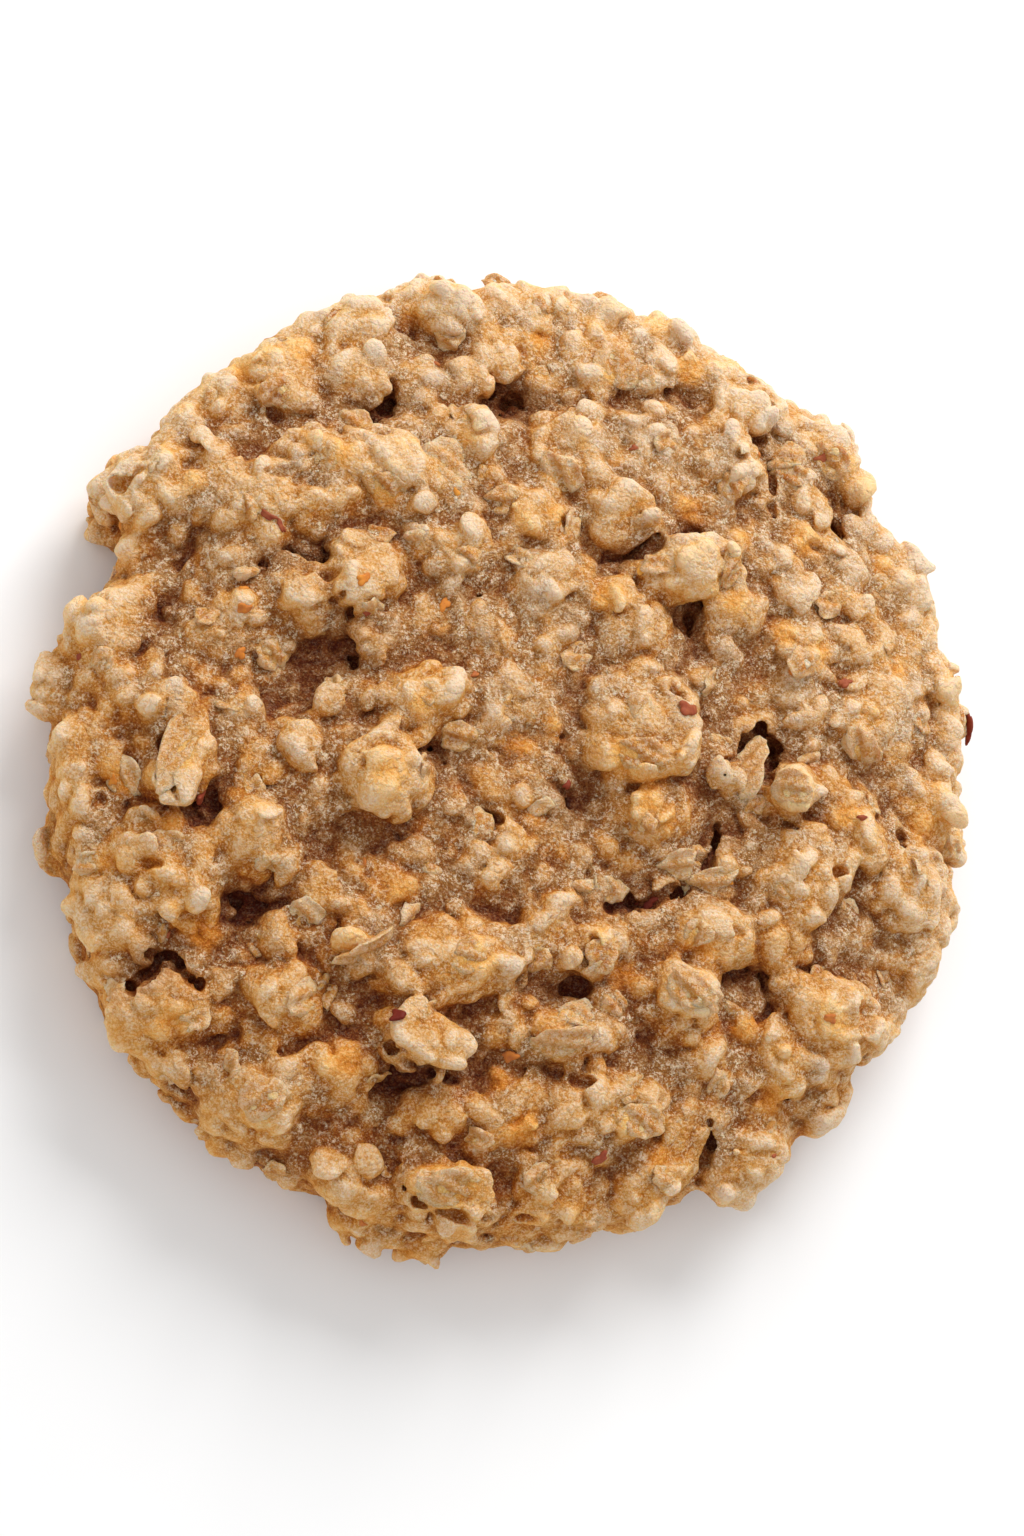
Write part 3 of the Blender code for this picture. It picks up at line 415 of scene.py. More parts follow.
def triangles_of(mesh):
    """The numbers of each triangle's points."""
    mesh.calc_loop_triangles()
    corners = np.empty(len(mesh.loop_triangles) * 3, np.int32)
    mesh.loop_triangles.foreach_get("vertices", corners)
    return corners.reshape(-1, 3)


class Dough:
    """Signed distance to the cookie's surface on a grid, negative inside, and the colour of each voxel.

    Tint is how golden the dough is, shade the painted shade of a hollow, hole or gap or, below 0, the painted
    light that makes a mound paler, amber marks the amber spots, and grain is an uneven noise that roughens
    whatever is added or taken away.
    """

    def __init__(self, solid):
        low, high = (np.array(corner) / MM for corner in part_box(solid.name))
        self.low = np.floor((low - ROOM) / VOXEL) * VOXEL
        self.shape = tuple(np.ceil((high + ROOM - self.low) / VOXEL).astype(int))
        self.values = self.distance_to(solid)
        self.tint = np.full(self.shape, PLAIN_TINT, np.float32)
        self.shade = np.zeros(self.shape, np.float32)
        self.amber = np.zeros(self.shape, np.float32)
        self.grain = 1.0 - GRAIN_CREASE * np.abs(band_noise(self.shape, GRAIN_SIZE))

    def distance_to(self, solid):
        """The distance to a solid's surface, with its facets smoothed."""
        grid = openvdb.FloatGrid.createLevelSetFromPolygons(
            (points_of(solid.data, np.float32) - self.low).astype(np.float32),
            triangles=triangles_of(solid.data).astype(np.uint32),
            transform=openvdb.createLinearTransform(voxelSize=VOXEL),
            halfWidth=BAND / VOXEL,
        )
        values = np.empty(self.shape, np.float32)
        grid.copyToArray(values)
        return blurred(values, FACET_BLUR / VOXEL)

    def window(self, centre, reach):
        """The slices of the grid round a point, and the offsets of their voxels from it."""
        first = np.maximum(np.floor((centre - reach - self.low) / VOXEL).astype(int), 0)
        last = np.minimum(np.ceil((centre + reach - self.low) / VOXEL).astype(int) + 1, self.shape)
        slices = tuple(slice(a, b) for a, b in zip(first, last))
        axes = [self.low[i] + np.arange(first[i], last[i]) * VOXEL - centre[i] for i in range(3)]
        return slices, np.meshgrid(*axes, indexing="ij")

    def sample(self, values, points):
        """Values at these points, by trilinear interpolation."""
        place = (points - self.low) / VOXEL
        place = np.clip(place, 0, np.array(self.shape) - 1.001)
        cell = place.astype(int)
        part = (place - cell).astype(np.float32)
        total = np.zeros(len(points), np.float32)
        for step in np.ndindex(2, 2, 2):
            weight = np.prod(np.where(step, part, 1 - part), axis=1)
            total += weight * values[tuple((cell + step).T)]
        return total

    def surface_along(self, starts, lines, furthest):
        """Where lines from outside first meet the surface."""
        points = starts.copy()
        travelled = np.zeros(len(points))
        for _ in range(MARCH_STEPS):
            distance = self.sample(self.values, points)
            moving = (distance > MARCH_NEAR) & (travelled < furthest)
            if not moving.any():
                break
            step = np.where(moving, np.maximum(distance, MARCH_LEAST) * MARCH_SHARE, 0.0)
            travelled += step
            points += lines * step[:, None]
        return points

    def outward(self, points, reach=0.8):
        """Unit normals of the surface, averaged over a reach."""
        slope = np.empty((len(points), 3))
        for axis in range(3):
            offset = np.zeros(3)
            offset[axis] = reach
            ahead, behind = (self.sample(self.values, points + side * offset) for side in (1, -1))
            slope[:, axis] = ahead - behind
        return slope / np.maximum(np.linalg.norm(slope, axis=1, keepdims=True), 1e-6)

    def seen_at(self, pixel_x, pixel_y):
        """The surface point that the camera sees at a pixel, or the nearest to its line just off the rim."""
        line = sight_line(pixel_x, pixel_y)
        steps = np.arange(CAMERA_DISTANCE - SIGHT_BEFORE, CAMERA_DISTANCE + SIGHT_BEHIND, SIGHT_STEP)
        points = EYE + line * steps[:, None]
        distances = self.sample(self.values, points)
        inside = np.nonzero(distances < 0.0)[0]
        if len(inside):
            return points[inside[0]]
        nearest = points[np.argmin(distances)]
        return nearest - self.outward(nearest[None])[0] * distances.min()

    def add(self, slices, distance, blend, tint=None):
        """Joins a shape to the dough with a soft crease."""
        here = self.values[slices]
        mixing = np.clip(0.5 + 0.5 * (here - distance) / blend, 0.0, 1.0)
        self.values[slices] = here * (1 - mixing) + distance * mixing - blend * mixing * (1 - mixing)
        if tint is not None:
            self.tint[slices][mixing > 0.5] = tint

    def carve(self, slices, distance, blend, dark=0.0):
        """Takes a shape away, with a soft edge, and paints shade on the dough there."""
        here = self.values[slices]
        # Painted shade, strongest inside the shape and fading past its edge.
        painted_shade_here = dark * np.clip(0.5 - distance / SHADE_EDGE, 0.0, 1.0)
        here_shade = self.shade[slices]
        self.shade[slices] = np.where(painted_shade_here > 0.0, np.maximum(here_shade, painted_shade_here), here_shade)
        mixing = np.clip(0.5 - 0.5 * (here + distance) / blend, 0.0, 1.0)
        self.values[slices] = here * (1 - mixing) - distance * mixing + blend * mixing * (1 - mixing)


def rounded_distance(offsets, turn, radii, fullness=2.0):
    """Close to the distance from an ellipsoid, or from a blockier shape where fullness is above 2.

    Its axes are the columns of turn.
    """
    shares = [np.abs(sum(offsets[i] * turn[i, j] for i in range(3))) / radii[j] for j in range(3)]
    reach = np.maximum(sum(share**fullness for share in shares), 1e-6) ** (1.0 / fullness)
    steep = sum((share ** (fullness - 1.0) / radius) ** 2 for share, radius in zip(shares, radii))
    steep = np.sqrt(steep) / reach ** (fullness - 1.0)
    return ((reach - 1.0) / np.maximum(steep, 1e-6)).astype(np.float32)


def turned_frame(outward, spin, tilt, lean):
    """Three axes: two lie along the surface, turned by spin, and the third stands on it, tilted."""
    helper = np.array([1.0, 0.0, 0.0]) if abs(outward[0]) < 0.8 else np.array([0.0, 1.0, 0.0])
    first = np.cross(helper, outward)
    first /= np.linalg.norm(first)
    second = np.cross(outward, first)
    along = first * math.cos(spin) + second * math.sin(spin)
    beside = np.cross(outward, along)
    leaning = along * math.cos(lean) + beside * math.sin(lean)
    up = outward * math.cos(tilt) + leaning * math.sin(tilt)
    along = along - up * np.dot(along, up)
    along /= np.linalg.norm(along)
    return np.column_stack([along, np.cross(up, along), up])


def laid_in_picture(outward, turn):
    """Three axes on a surface point: the first runs as the turn does in the picture, the third stands out."""
    along = RIGHT * math.cos(math.radians(turn)) + UP * math.sin(math.radians(turn))
    along = along - outward * np.dot(along, outward)
    along /= np.linalg.norm(along)
    return np.column_stack([along, np.cross(outward, along), outward])


# ---- places on the cookie

def scattered_places(dough, count, spacing):
    """Points spread over the solid's top and wall, no two closer than the spacing, with outward normals."""
    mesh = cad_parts["cookie"].data
    corners = points_of(mesh)[triangles_of(mesh)]
    crosses = np.cross(corners[:, 1] - corners[:, 0], corners[:, 2] - corners[:, 0])
    areas = np.linalg.norm(crosses, axis=1) / 2
    underside = corners[:, :, 2].max(axis=1) < 0.05
    areas[underside] = 0.0
    chosen = chance.choice(len(areas), size=count * 6, p=areas / areas.sum())
    first, second = chance.random((2, len(chosen)))
    folded = first + second > 1
    first[folded], second[folded] = 1 - first[folded], 1 - second[folded]
    tri = corners[chosen]
    points = tri[:, 0] + first[:, None] * (tri[:, 1] - tri[:, 0]) + second[:, None] * (tri[:, 2] - tri[:, 0])
    kept = []
    cells = {}
    for point in points:
        cell = tuple(np.floor(point / spacing).astype(int))
        near = (
            other
            for step in np.ndindex(3, 3, 3)
            for other in cells.get(tuple(np.array(cell) + step - 1), ())
        )
        if all(np.sum((point - other) ** 2) > spacing**2 for other in near):
            cells.setdefault(cell, []).append(point)
            kept.append(point)
            if len(kept) == count:
                break
    points = np.array(kept)
    normals = dough.outward(points, 2.0)
    return dough.surface_along(points + normals * 3.0, -normals, 6.0), normals


def add_lumps(dough, count, spacing, radii_low, radii_high, sunk, tilt, blend, roughness, tinted, taken=()):
    """Scatters lumpy ellipsoids, each sunk by a share of its height, and leaves the taken places free."""
    points, normals = scattered_places(dough, count, spacing)
    for point, normal in zip(points, normals):
        if any(np.sum((point - centre) ** 2) < radius**2 for centre, radius in taken):
            continue
        radii = chance.uniform(radii_low, radii_high)
        spin = chance.uniform(0, math.tau)
        turn = turned_frame(normal, spin, chance.uniform(0, tilt), chance.uniform(0, math.tau))
        centre = point - normal * radii[2] * chance.uniform(*sunk)
        slices, offsets = dough.window(centre, radii.max() + blend + SPARE)
        distance = rounded_distance(offsets, turn, radii) + roughness * dough.grain[slices]
        own_colour = chance.random() < tinted
        dough.add(slices, distance, blend, chance.random() if own_colour else None)


def add_named_lumps(dough, rows, fullness, sunk, blend, roughness):
    """Adds the lumps that the picture shows, and returns the places they take."""
    points = [dough.seen_at(row[0], row[1]) for row in rows]
    normals = dough.outward(np.array(points), 1.5)
    taken = []
    for row, point, normal in zip(rows, points, normals):
        length, width, rise, turn, golden = row[2:]
        rise = rise * NAMED_RISE
        widened = 1.0 / (1.0 - sunk**fullness) ** (1.0 / fullness)
        radii = np.array([length / 2 * widened, width / 2 * widened, rise / (1.0 - sunk)])
        radii[:2] -= NAMED_TRIM * blend
        centre = point - normal * radii[2] * sunk
        slices, offsets = dough.window(centre, radii.max() + blend + SPARE)
        distance = rounded_distance(offsets, laid_in_picture(normal, turn), radii, fullness)
        dough.add(slices, distance + roughness * dough.grain[slices], blend, golden)
        taken.append((point, TAKEN_SHARE * (length + width) / 2))
    return taken


def raise_mounds(dough):
    """Swells the dough gently where the picture shows broad mounds, and paints light on them to make them
    paler.
    """
    for pixel_x, pixel_y, length, width, rise, turn in MOUNDS:
        point = dough.seen_at(pixel_x, pixel_y)
        normal = dough.outward(point[None], 3.0)[0]
        radii = np.array([length * MOUND_SPREAD, width * MOUND_SPREAD, rise * 2.0])
        slices, offsets = dough.window(point - normal * rise, radii.max() + 3.0)
        distance = rounded_distance(offsets, laid_in_picture(normal, turn), radii)
        dough.add(slices, distance, MOUND_BLEND)
        # Painted light: the dough of the mound is made paler.
        dough.shade[slices] -= MOUND_PAINTED_LIGHT * np.clip(0.5 - distance / SHADE_EDGE, 0.0, 1.0)


def carve_pits(dough, rows, blend, roughness):
    """Takes hollows or holes out of the dough where the picture shows them, and paints shade in them."""
    for pixel_x, pixel_y, length, width, depth, turn, *dark in rows:
        point = dough.seen_at(pixel_x, pixel_y)
        normal = dough.outward(point[None], 1.5)[0]
        radii = np.array([length / 2, width / 2, depth])
        slices, offsets = dough.window(point, radii.max() + blend + 1.0)
        distance = rounded_distance(offsets, laid_in_picture(normal, turn), radii)
        dough.carve(slices, distance + roughness * dough.grain[slices], blend, *dark)


def stain_amber(dough):
    """Marks the smooth amber spots, with soft uneven edges."""
    for pixel_x, pixel_y, size in AMBER_SPOTS:
        point = dough.seen_at(pixel_x, pixel_y)
        slices, offsets = dough.window(point, size / 2 + 1.0)
        distance = np.sqrt(sum(offset**2 for offset in offsets)) - size / 2
        distance += AMBER_ROUGHNESS * dough.grain[slices]
        spot = np.clip(0.5 - distance / AMBER_EDGE, 0.0, 1.0).astype(np.float32)
        dough.amber[slices] = np.maximum(dough.amber[slices], spot)


def carve_gap(dough, pixels, width, depth):
    """Takes out a gap that runs through these pixels, like a row of close uneven beads, and paints shade in
    it.
    """
    corners = [dough.seen_at(*pixel) for pixel in pixels]
    upright = np.column_stack([RIGHT, UP, TOWARDS])
    for start, end in zip(corners, corners[1:]):
        steps = max(2, int(np.linalg.norm(end - start) / (GAP_STEP * width)))
        for share in np.linspace(0.0, 1.0, steps):
            point = start * (1 - share) + end * share + chance.uniform(-GAP_STRAY, GAP_STRAY, 3) * width
            radii = np.array([width / 2, width / 2, depth]) * chance.uniform(0.7, 1.1)
            slices, offsets = dough.window(point, radii.max() + GAP_BLEND + SPARE)
            distance = rounded_distance(offsets, upright, radii)
            dough.carve(slices, distance + GAP_ROUGHNESS * dough.grain[slices], GAP_BLEND, HOLE_PAINTED_SHADE)


def band_noise(shape, wavelength):
    """Smooth noise with bumps of about this size in millimetres, mostly between -1 and 1."""
    values = chance.standard_normal(shape, dtype=np.float32)
    values = blurred(values, max(1.0, wavelength / VOXEL / 3.5))
    return values / (2.0 * values.std())


def puff(dough, size, height):
    """Swells the surface into round grains of about this size, with creases between them."""
    grains = np.abs(band_noise(dough.shape, size))
    dough.values -= height * (grains - grains.mean())


def knead():
    """The whole dough.

    The named round lumps and the scattered ones are built apart from the same start and then united, so
    that the scattered ones don't soften the named ones.
    """
    dough = Dough(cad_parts["cookie"])
    heights = (dough.low[2] + np.arange(dough.shape[2]) * VOXEL).astype(np.float32)
    dough.values += SHRINK * np.clip(heights / SHRINK_HEIGHT, 0.0, 1.0)[None, None, :]
    raise_mounds(dough)
    carve_pits(dough, HOLLOWS, blend=1.8, roughness=0.9)

    start, start_tint = dough.values.copy(), dough.tint.copy()
    taken = add_named_lumps(dough, ROUND_LUMPS, fullness=2.0, sunk=0.6, blend=0.45, roughness=0.42)
    named, named_tint = dough.values, dough.tint
    dough.values, dough.tint = start, start_tint
    add_lumps(
        dough, count=900, spacing=3.7, radii_low=(2.6, 2.1, 1.1), radii_high=(4.0, 3.2, 1.8),
        sunk=(0.32, 0.64), tilt=0.3, blend=0.6, roughness=0.4, tinted=0.7, taken=taken,
    )
    add_lumps(
        dough, count=5200, spacing=1.8, radii_low=(1.2, 1.0, 0.7), radii_high=(2.5, 1.9, 1.2),
        sunk=(0.50, 0.78), tilt=0.5, blend=0.3, roughness=0.2, tinted=0.5,
    )
    on_top = named < dough.values
    dough.values = np.where(on_top, named, dough.values)
    dough.tint = np.where(on_top, named_tint, dough.tint)

    add_named_lumps(dough, BLOCKS, fullness=3.2, sunk=0.3, blend=0.3, roughness=0.3)
    add_lumps(
        dough, count=450, spacing=4.6, radii_low=(1.8, 1.3, 0.6), radii_high=(3.0, 2.2, 0.9),
        sunk=(0.35, 0.8), tilt=0.4, blend=0.30, roughness=0.20, tinted=0.6,
    )
    puff(dough, size=2.6, height=0.22)
    carve_pits(dough, [(*hole, HOLE_PAINTED_SHADE) for hole in HOLES], blend=0.7, roughness=0.9)
    for pixels, width, depth in GAPS:
        carve_gap(dough, pixels, width, depth)
    puff(dough, size=1.3, height=0.13)
    stain_amber(dough)

    base_pits = BASE_PIT_MIDDLE + BASE_PIT_SWING * band_noise(dough.shape, BASE_PIT_SIZE)
    base_pits = np.clip(base_pits, 0.0, BASE_PIT_DEEPEST)
    dough.values = np.maximum(dough.values, base_pits - heights[None, None, :])
    return dough


# ---- the mesh

def keep_largest_part(mesh):
    """Leaves only the largest connected part of a mesh: no sealed bubbles and no loose crumbs."""
    shape = bmesh.new()
    shape.from_mesh(mesh)
    left, largest = set(shape.verts), []
    while left:
        part = [left.pop()]
        for point in part:
            for link in point.link_edges:
                other = link.other_vert(point)
                if other in left:
                    left.remove(other)
                    part.append(other)
        if len(part) > len(largest):
            largest = part
    kept = set(largest)
    bmesh.ops.delete(shape, geom=[point for point in shape.verts if point not in kept], context="VERTS")
    shape.to_mesh(mesh)
    shape.free()


def close_holes(mesh):
    """Fills the few small holes that thinning out leaves in a mesh."""
    mesh.validate()
    shape = bmesh.new()
    shape.from_mesh(mesh)
    bmesh.ops.holes_fill(shape, edges=[edge for edge in shape.edges if edge.is_boundary], sides=0)
    bmesh.ops.triangulate(shape, faces=shape.faces)
    shape.to_mesh(mesh)
    shape.free()
    mesh.validate()


def mesh_of(dough, name, most_triangles):
    """One closed mesh round the dough, thinned to a number of triangles."""
    grid = openvdb.FloatGrid(BAND)
    grid.copyFromArray(dough.values)
    grid.transform = openvdb.createLinearTransform(voxelSize=VOXEL)
    points, quads = grid.convertToQuads(isovalue=0.0)
    mesh = bpy.data.meshes.new(name)
    mesh.from_pydata((points + dough.low) * MM, [], quads[:, ::-1].tolist())
    mesh.validate()
    keep_largest_part(mesh)
    piece = bpy.data.objects.new(name, mesh)
    bpy.context.scene.collection.objects.link(piece)
    thinner = piece.modifiers.new("thin out", "DECIMATE")
    thinner.ratio = min(1.0, most_triangles / (2 * len(mesh.polygons)))
    graph = bpy.context.evaluated_depsgraph_get()
    thinned = bpy.data.meshes.new_from_object(piece.evaluated_get(graph))
    piece.modifiers.clear()
    piece.data = thinned
    keep_largest_part(thinned)
    close_holes(thinned)
    thinned.shade_smooth()
    return piece


def store(piece, name, values):
    """Keeps one number for each point of the mesh, for the material to read."""
    layer = piece.data.attributes.new(name, "FLOAT", "POINT")
    layer.data.foreach_set("value", values.astype(np.float32))


def measure(dough, piece):
    """Stores how each point stands out or lies back at three scales, and what the dough is like there: its
    tint, its amber and its painted shade or light.
    """
    points = points_of(piece.data)
    field = np.clip(dough.values, -BAND, BAND)
    for name, radius in RELIEFS:
        store(piece, name, dough.sample(blurred(field, radius / VOXEL), points) / radius)
    stains_and_painted_shade = (("tint", dough.tint, 0.5), ("amber", dough.amber, 0.5), ("shade", dough.shade, 1.0))
    for name, values, radius in stains_and_painted_shade:
        store(piece, name, dough.sample(blurred(values, radius / VOXEL), points))


# ---- loose shapes

def grid_corner(ring, step, below):
    """The number of a flake's point: the middle, then ring by ring, the lower face after the upper."""
    number = 0 if ring == 0 else 1 + (ring - 1) * FLAKE_STEPS + step % FLAKE_STEPS
    return number + (1 + FLAKE_RINGS * FLAKE_STEPS if below else 0)


def flake_grid():
    """The turn and reach from the middle of each point of a flake's upper face, and all its faces."""
    turns, reaches, faces = [0.0], [0.0], []
    for ring in range(1, FLAKE_RINGS + 1):
        for step in range(FLAKE_STEPS):
            turns.append(math.tau * step / FLAKE_STEPS)
            reaches.append(ring / FLAKE_RINGS)
    for below in (False, True):
        for ring in range(FLAKE_RINGS):
            for step in range(FLAKE_STEPS):
                places = ((ring, step), (ring + 1, step), (ring + 1, step + 1), (ring, step + 1))
                if ring == 0:
                    places = places[:3]
                corners = [grid_corner(*place, below) for place in places]
                faces.append(corners[::-1] if below else corners)
    for step in range(FLAKE_STEPS):
        sides = ((step, False), (step, True), (step + 1, True), (step + 1, False))
        faces.append([grid_corner(FLAKE_RINGS, *side) for side in sides])
    return np.array(turns), np.array(reaches), faces


def waves(turns, sizes):
    """A wavy line round a ring: the sum of sines, each given by its count of waves and its size."""
    return sum(size * np.sin(count * turns + chance.uniform(0, math.tau)) for count, size in sizes)


def flake_points(turns, reaches, length, width, thickness, curl, cup):
    """One rolled oat: an oval with a ragged rim and a rounded edge, curled along its length."""
    outline = 1.0 + waves(turns, ((2, 0.06), (3, 0.07), (5, 0.05), (8, 0.03), (11, 0.03)))
    x = reaches * outline * np.cos(turns) * length / 2
    y = reaches * outline * np.sin(turns) * width / 2
    bent = curl * (2 * x / length) ** 2 + cup * (2 * y / width) ** 2
    bent += 0.10 * thickness * waves(4.0 * x + turns, ((1, 1.0),))
    bent += 0.35 * thickness * np.sin(2.6 * y + 1.4 * x)
    half = thickness / 2 * (1.0 - 0.75 * reaches**5)
    return np.vstack([np.column_stack([x, y, bent + half]), np.column_stack([x, y, bent - half])])


def chip_points(turns, reaches, length, width, thickness, curl, cup):
    """One chip of nut or skin: like a flake, but small, thicker and more angular."""
    outline = 1.0 + waves(turns, ((2, 0.10), (3, 0.16), (4, 0.12), (7, 0.05)))
    x = reaches * outline * np.cos(turns) * length / 2
    y = reaches * outline * np.sin(turns) * width / 2
    bent = curl * (2 * x / length) ** 2 + cup * (2 * y / width) ** 2
    half = thickness / 2 * np.sqrt(np.maximum(1.0 - 0.9 * reaches**2.5, 0.0))
    return np.vstack([np.column_stack([x, y, bent + half]), np.column_stack([x, y, bent - half])])


def joined(name, shape_of, placed):
    """One mesh of many small shapes. Each is placed by its middle, its axes, its sizes and its tone."""
    turns, reaches, faces = flake_grid()
    corner_count = 2 * len(turns)
    points, tones, edges, all_faces = [], [], [], []
    for number, (centre, axes, sizes, tone) in enumerate(placed):
        local = shape_of(turns, reaches, *sizes)
        points.append(centre + local @ axes.T)
        tones.append(np.full(corner_count, tone))
        edges.append(np.concatenate([reaches, reaches]))
        all_faces += [[corner + number * corner_count for corner in face] for face in faces]
    mesh = bpy.data.meshes.new(name)
    mesh.from_pydata(np.vstack(points) * MM, [], all_faces)
    mesh.shade_smooth()
    piece = bpy.data.objects.new(name, mesh)
    bpy.context.scene.collection.objects.link(piece)
    store(piece, "tone", np.concatenate(tones))
    store(piece, "edge", np.concatenate(edges))
    return piece


def leaned(axes, lean, roll):
    """Axes turned so that the shape leans up along its length and rolls round it, in degrees."""
    along = Matrix.Rotation(math.radians(-lean), 3, "Y")
    round_length = Matrix.Rotation(math.radians(roll), 3, "X")
    return axes @ np.array(along @ round_length)


def named_shapes(dough, rows, thickness):
    """Where the shapes that the picture shows lie, and how."""
    placed = []
    for pixel_x, pixel_y, length, width, turn, lean, roll, curl, lift, tone in rows:
        point = dough.seen_at(pixel_x, pixel_y)
        normal = dough.outward(point[None], 1.2)[0]
        axes = leaned(laid_in_picture(normal, turn), lean, roll)
        sizes = (length, width, thickness, curl, NAMED_CUP)
        placed.append((point + normal * (lift - SETTLED), axes, sizes, tone))
    return placed


def scattered_shapes(dough, count, spacing, smallest, largest, most_lean, lifts, tones):
    """Shapes strewn over the cookie, half sunk and leaning at random."""
    points, normals = scattered_places(dough, count, spacing)
    placed = []
    for point, normal in zip(points, normals):
        length, width, thickness = chance.uniform(smallest, largest)
        axes = turned_frame(normal, chance.uniform(0, math.tau), 0.0, 0.0)
        axes = leaned(axes, chance.uniform(-most_lean, most_lean), chance.uniform(-most_lean, most_lean))
        sizes = (length, width, thickness, chance.uniform(-0.5, 0.1), chance.uniform(-0.3, 0.2))
        lift, tone = chance.uniform(*lifts), chance.uniform(*tones)
        if point[2] > LOWEST_SHAPE:
            placed.append((point + normal * lift, axes, sizes, tone))
    return placed


# ---- material

def srgb(red, green, blue):
    """A colour from its 0 to 255 screen values."""
    shares = [value / 255.0 for value in (red, green, blue)]
    linear = [share / 12.92 if share <= 0.04045 else ((share + 0.055) / 1.055) ** 2.4 for share in shares]
    return (*linear, 1.0)


class Nodes:
    """Short calls that add and wire nodes of one material."""

    def __init__(self, name):
        self.material = bpy.data.materials.new(name)
        self.material.use_nodes = True
        self.tree = self.material.node_tree
        self.shader = self.tree.nodes["Principled BSDF"]

    def add(self, kind, **settings):
        node = self.tree.nodes.new(kind)
        for key, value in settings.items():
            setattr(node, key, value)
        return node

    def link(self, source, target):
        self.tree.links.new(source, target)

    def feed(self, value, socket):
        """Wires a socket into another, or sets it to a plain value."""
        if isinstance(value, bpy.types.NodeSocket):
            self.link(value, socket)
        else:
            socket.default_value = value

    def attribute(self, name):
        """A number stored on the mesh."""
        return self.add("ShaderNodeAttribute", attribute_name=name).outputs["Fac"]

    def position(self):
        return self.add("ShaderNodeTexCoord").outputs["Object"]

    def colours(self, value, stops):
        """A colour for each value from 0 to 1, through evenly spaced screen colours."""
        node = self.add("ShaderNodeValToRGB")
        self.link(value, node.inputs["Fac"])
        elements = node.color_ramp.elements
        while len(elements) < len(stops):
            elements.new(0.5)
        for index, stop in enumerate(stops):
            elements[index].position = index / (len(stops) - 1)
            elements[index].color = srgb(*stop)
        return node.outputs["Color"]

    def along(self, direction):
        """How far a point lies in this direction from the middle."""
        node = self.add("ShaderNodeVectorMath", operation="DOT_PRODUCT")
        self.link(self.position(), node.inputs[0])
        node.inputs[1].default_value = direction
        return node.outputs["Value"]

    def math(self, operation, first, second=0.0):
        node = self.add("ShaderNodeMath", operation=operation)
        self.feed(first, node.inputs[0])
        self.feed(second, node.inputs[1])
        return node.outputs[0]

    def total(self, first, *others):
        for other in others:
            first = self.math("ADD", first, other)
        return first

    def product(self, first, *others):
        for other in others:
            first = self.math("MULTIPLY", first, other)
        return first

    def upward(self):
        """How far the surface faces up: 1 where level, 0 where upright."""
        node = self.add("ShaderNodeSeparateXYZ")
        self.link(self.add("ShaderNodeNewGeometry").outputs["Normal"], node.inputs[0])
        return node.outputs["Z"]

    def ramp(self, value, low, high, out_low=0.0, out_high=1.0, way="LINEAR"):
        """Takes values from low to high over into values from out_low to out_high, and no further."""
        node = self.add("ShaderNodeMapRange", interpolation_type=way)
        node.clamp = True
        self.feed(value, node.inputs["Value"])
        sockets = ("From Min", "From Max", "To Min", "To Max")
        for socket, number in zip(sockets, (low, high, out_low, out_high)):
            node.inputs[socket].default_value = number
        return node.outputs[0]

    def ease(self, value, low, high, out_low=0.0, out_high=1.0):
        """The same, with soft ends."""
        return self.ramp(value, low, high, out_low, out_high, "SMOOTHSTEP")

    def noise(self, size, detail, roughness=0.55, offset=0.0):
        """Noise with features of about this size in millimetres, from 0 to 1."""
        node = self.add("ShaderNodeTexNoise")
        shift = self.add("ShaderNodeVectorMath", operation="ADD")
        self.link(self.position(), shift.inputs[0])
        shift.inputs[1].default_value = (offset, offset * 0.7, offset * 0.3)
        self.link(shift.outputs[0], node.inputs["Vector"])
        node.inputs["Scale"].default_value = 1.0 / (size * MM)
        node.inputs["Detail"].default_value = detail
        node.inputs["Roughness"].default_value = roughness
        return node.outputs["Fac"]

    def billow(self, size, detail, roughness, offset):
        """Round grains of about this size in millimetres: 0 in the creases between them, about 0.5 on top."""
        centred = self.math("SUBTRACT", self.noise(size, detail, roughness, offset), 0.5)
        return self.math("MULTIPLY", self.math("ABSOLUTE", centred), 3.0)

    def mix(self, share, first, second):
        """One colour that goes over into a second by a share from 0 to 1."""
        node = self.add("ShaderNodeMix", data_type="RGBA")
        self.feed(share, node.inputs[0])
        self.feed(first, node.inputs[6])
        self.feed(second, node.inputs[7])
        return node.outputs[2]

    def finish(self, colour, normal, roughness, specular, soft_reach=0.0):
        """Feeds the shader. With a reach in millimetres, light also spreads under the surface."""
        self.link(colour, self.shader.inputs["Base Color"])
        self.link(normal, self.shader.inputs["Normal"])
        self.shader.inputs["Roughness"].default_value = roughness
        self.shader.inputs["Specular IOR Level"].default_value = specular
        if soft_reach > 0.0:
            self.shader.inputs["Subsurface Weight"].default_value = SOFT_SHARE
            self.shader.inputs["Subsurface Radius"].default_value = SOFT_SPREAD
            self.shader.inputs["Subsurface Scale"].default_value = soft_reach * MM
        return self.material

    def bump(self, height, distance, strength, before=None):
        """Fine relief of this height in millimetres."""
        node = self.add("ShaderNodeBump")
        node.inputs["Distance"].default_value = distance * MM
        node.inputs["Strength"].default_value = strength
        self.link(height, node.inputs["Height"])
        if before is not None:
            self.link(before, node.inputs["Normal"])
        return node.outputs[0]
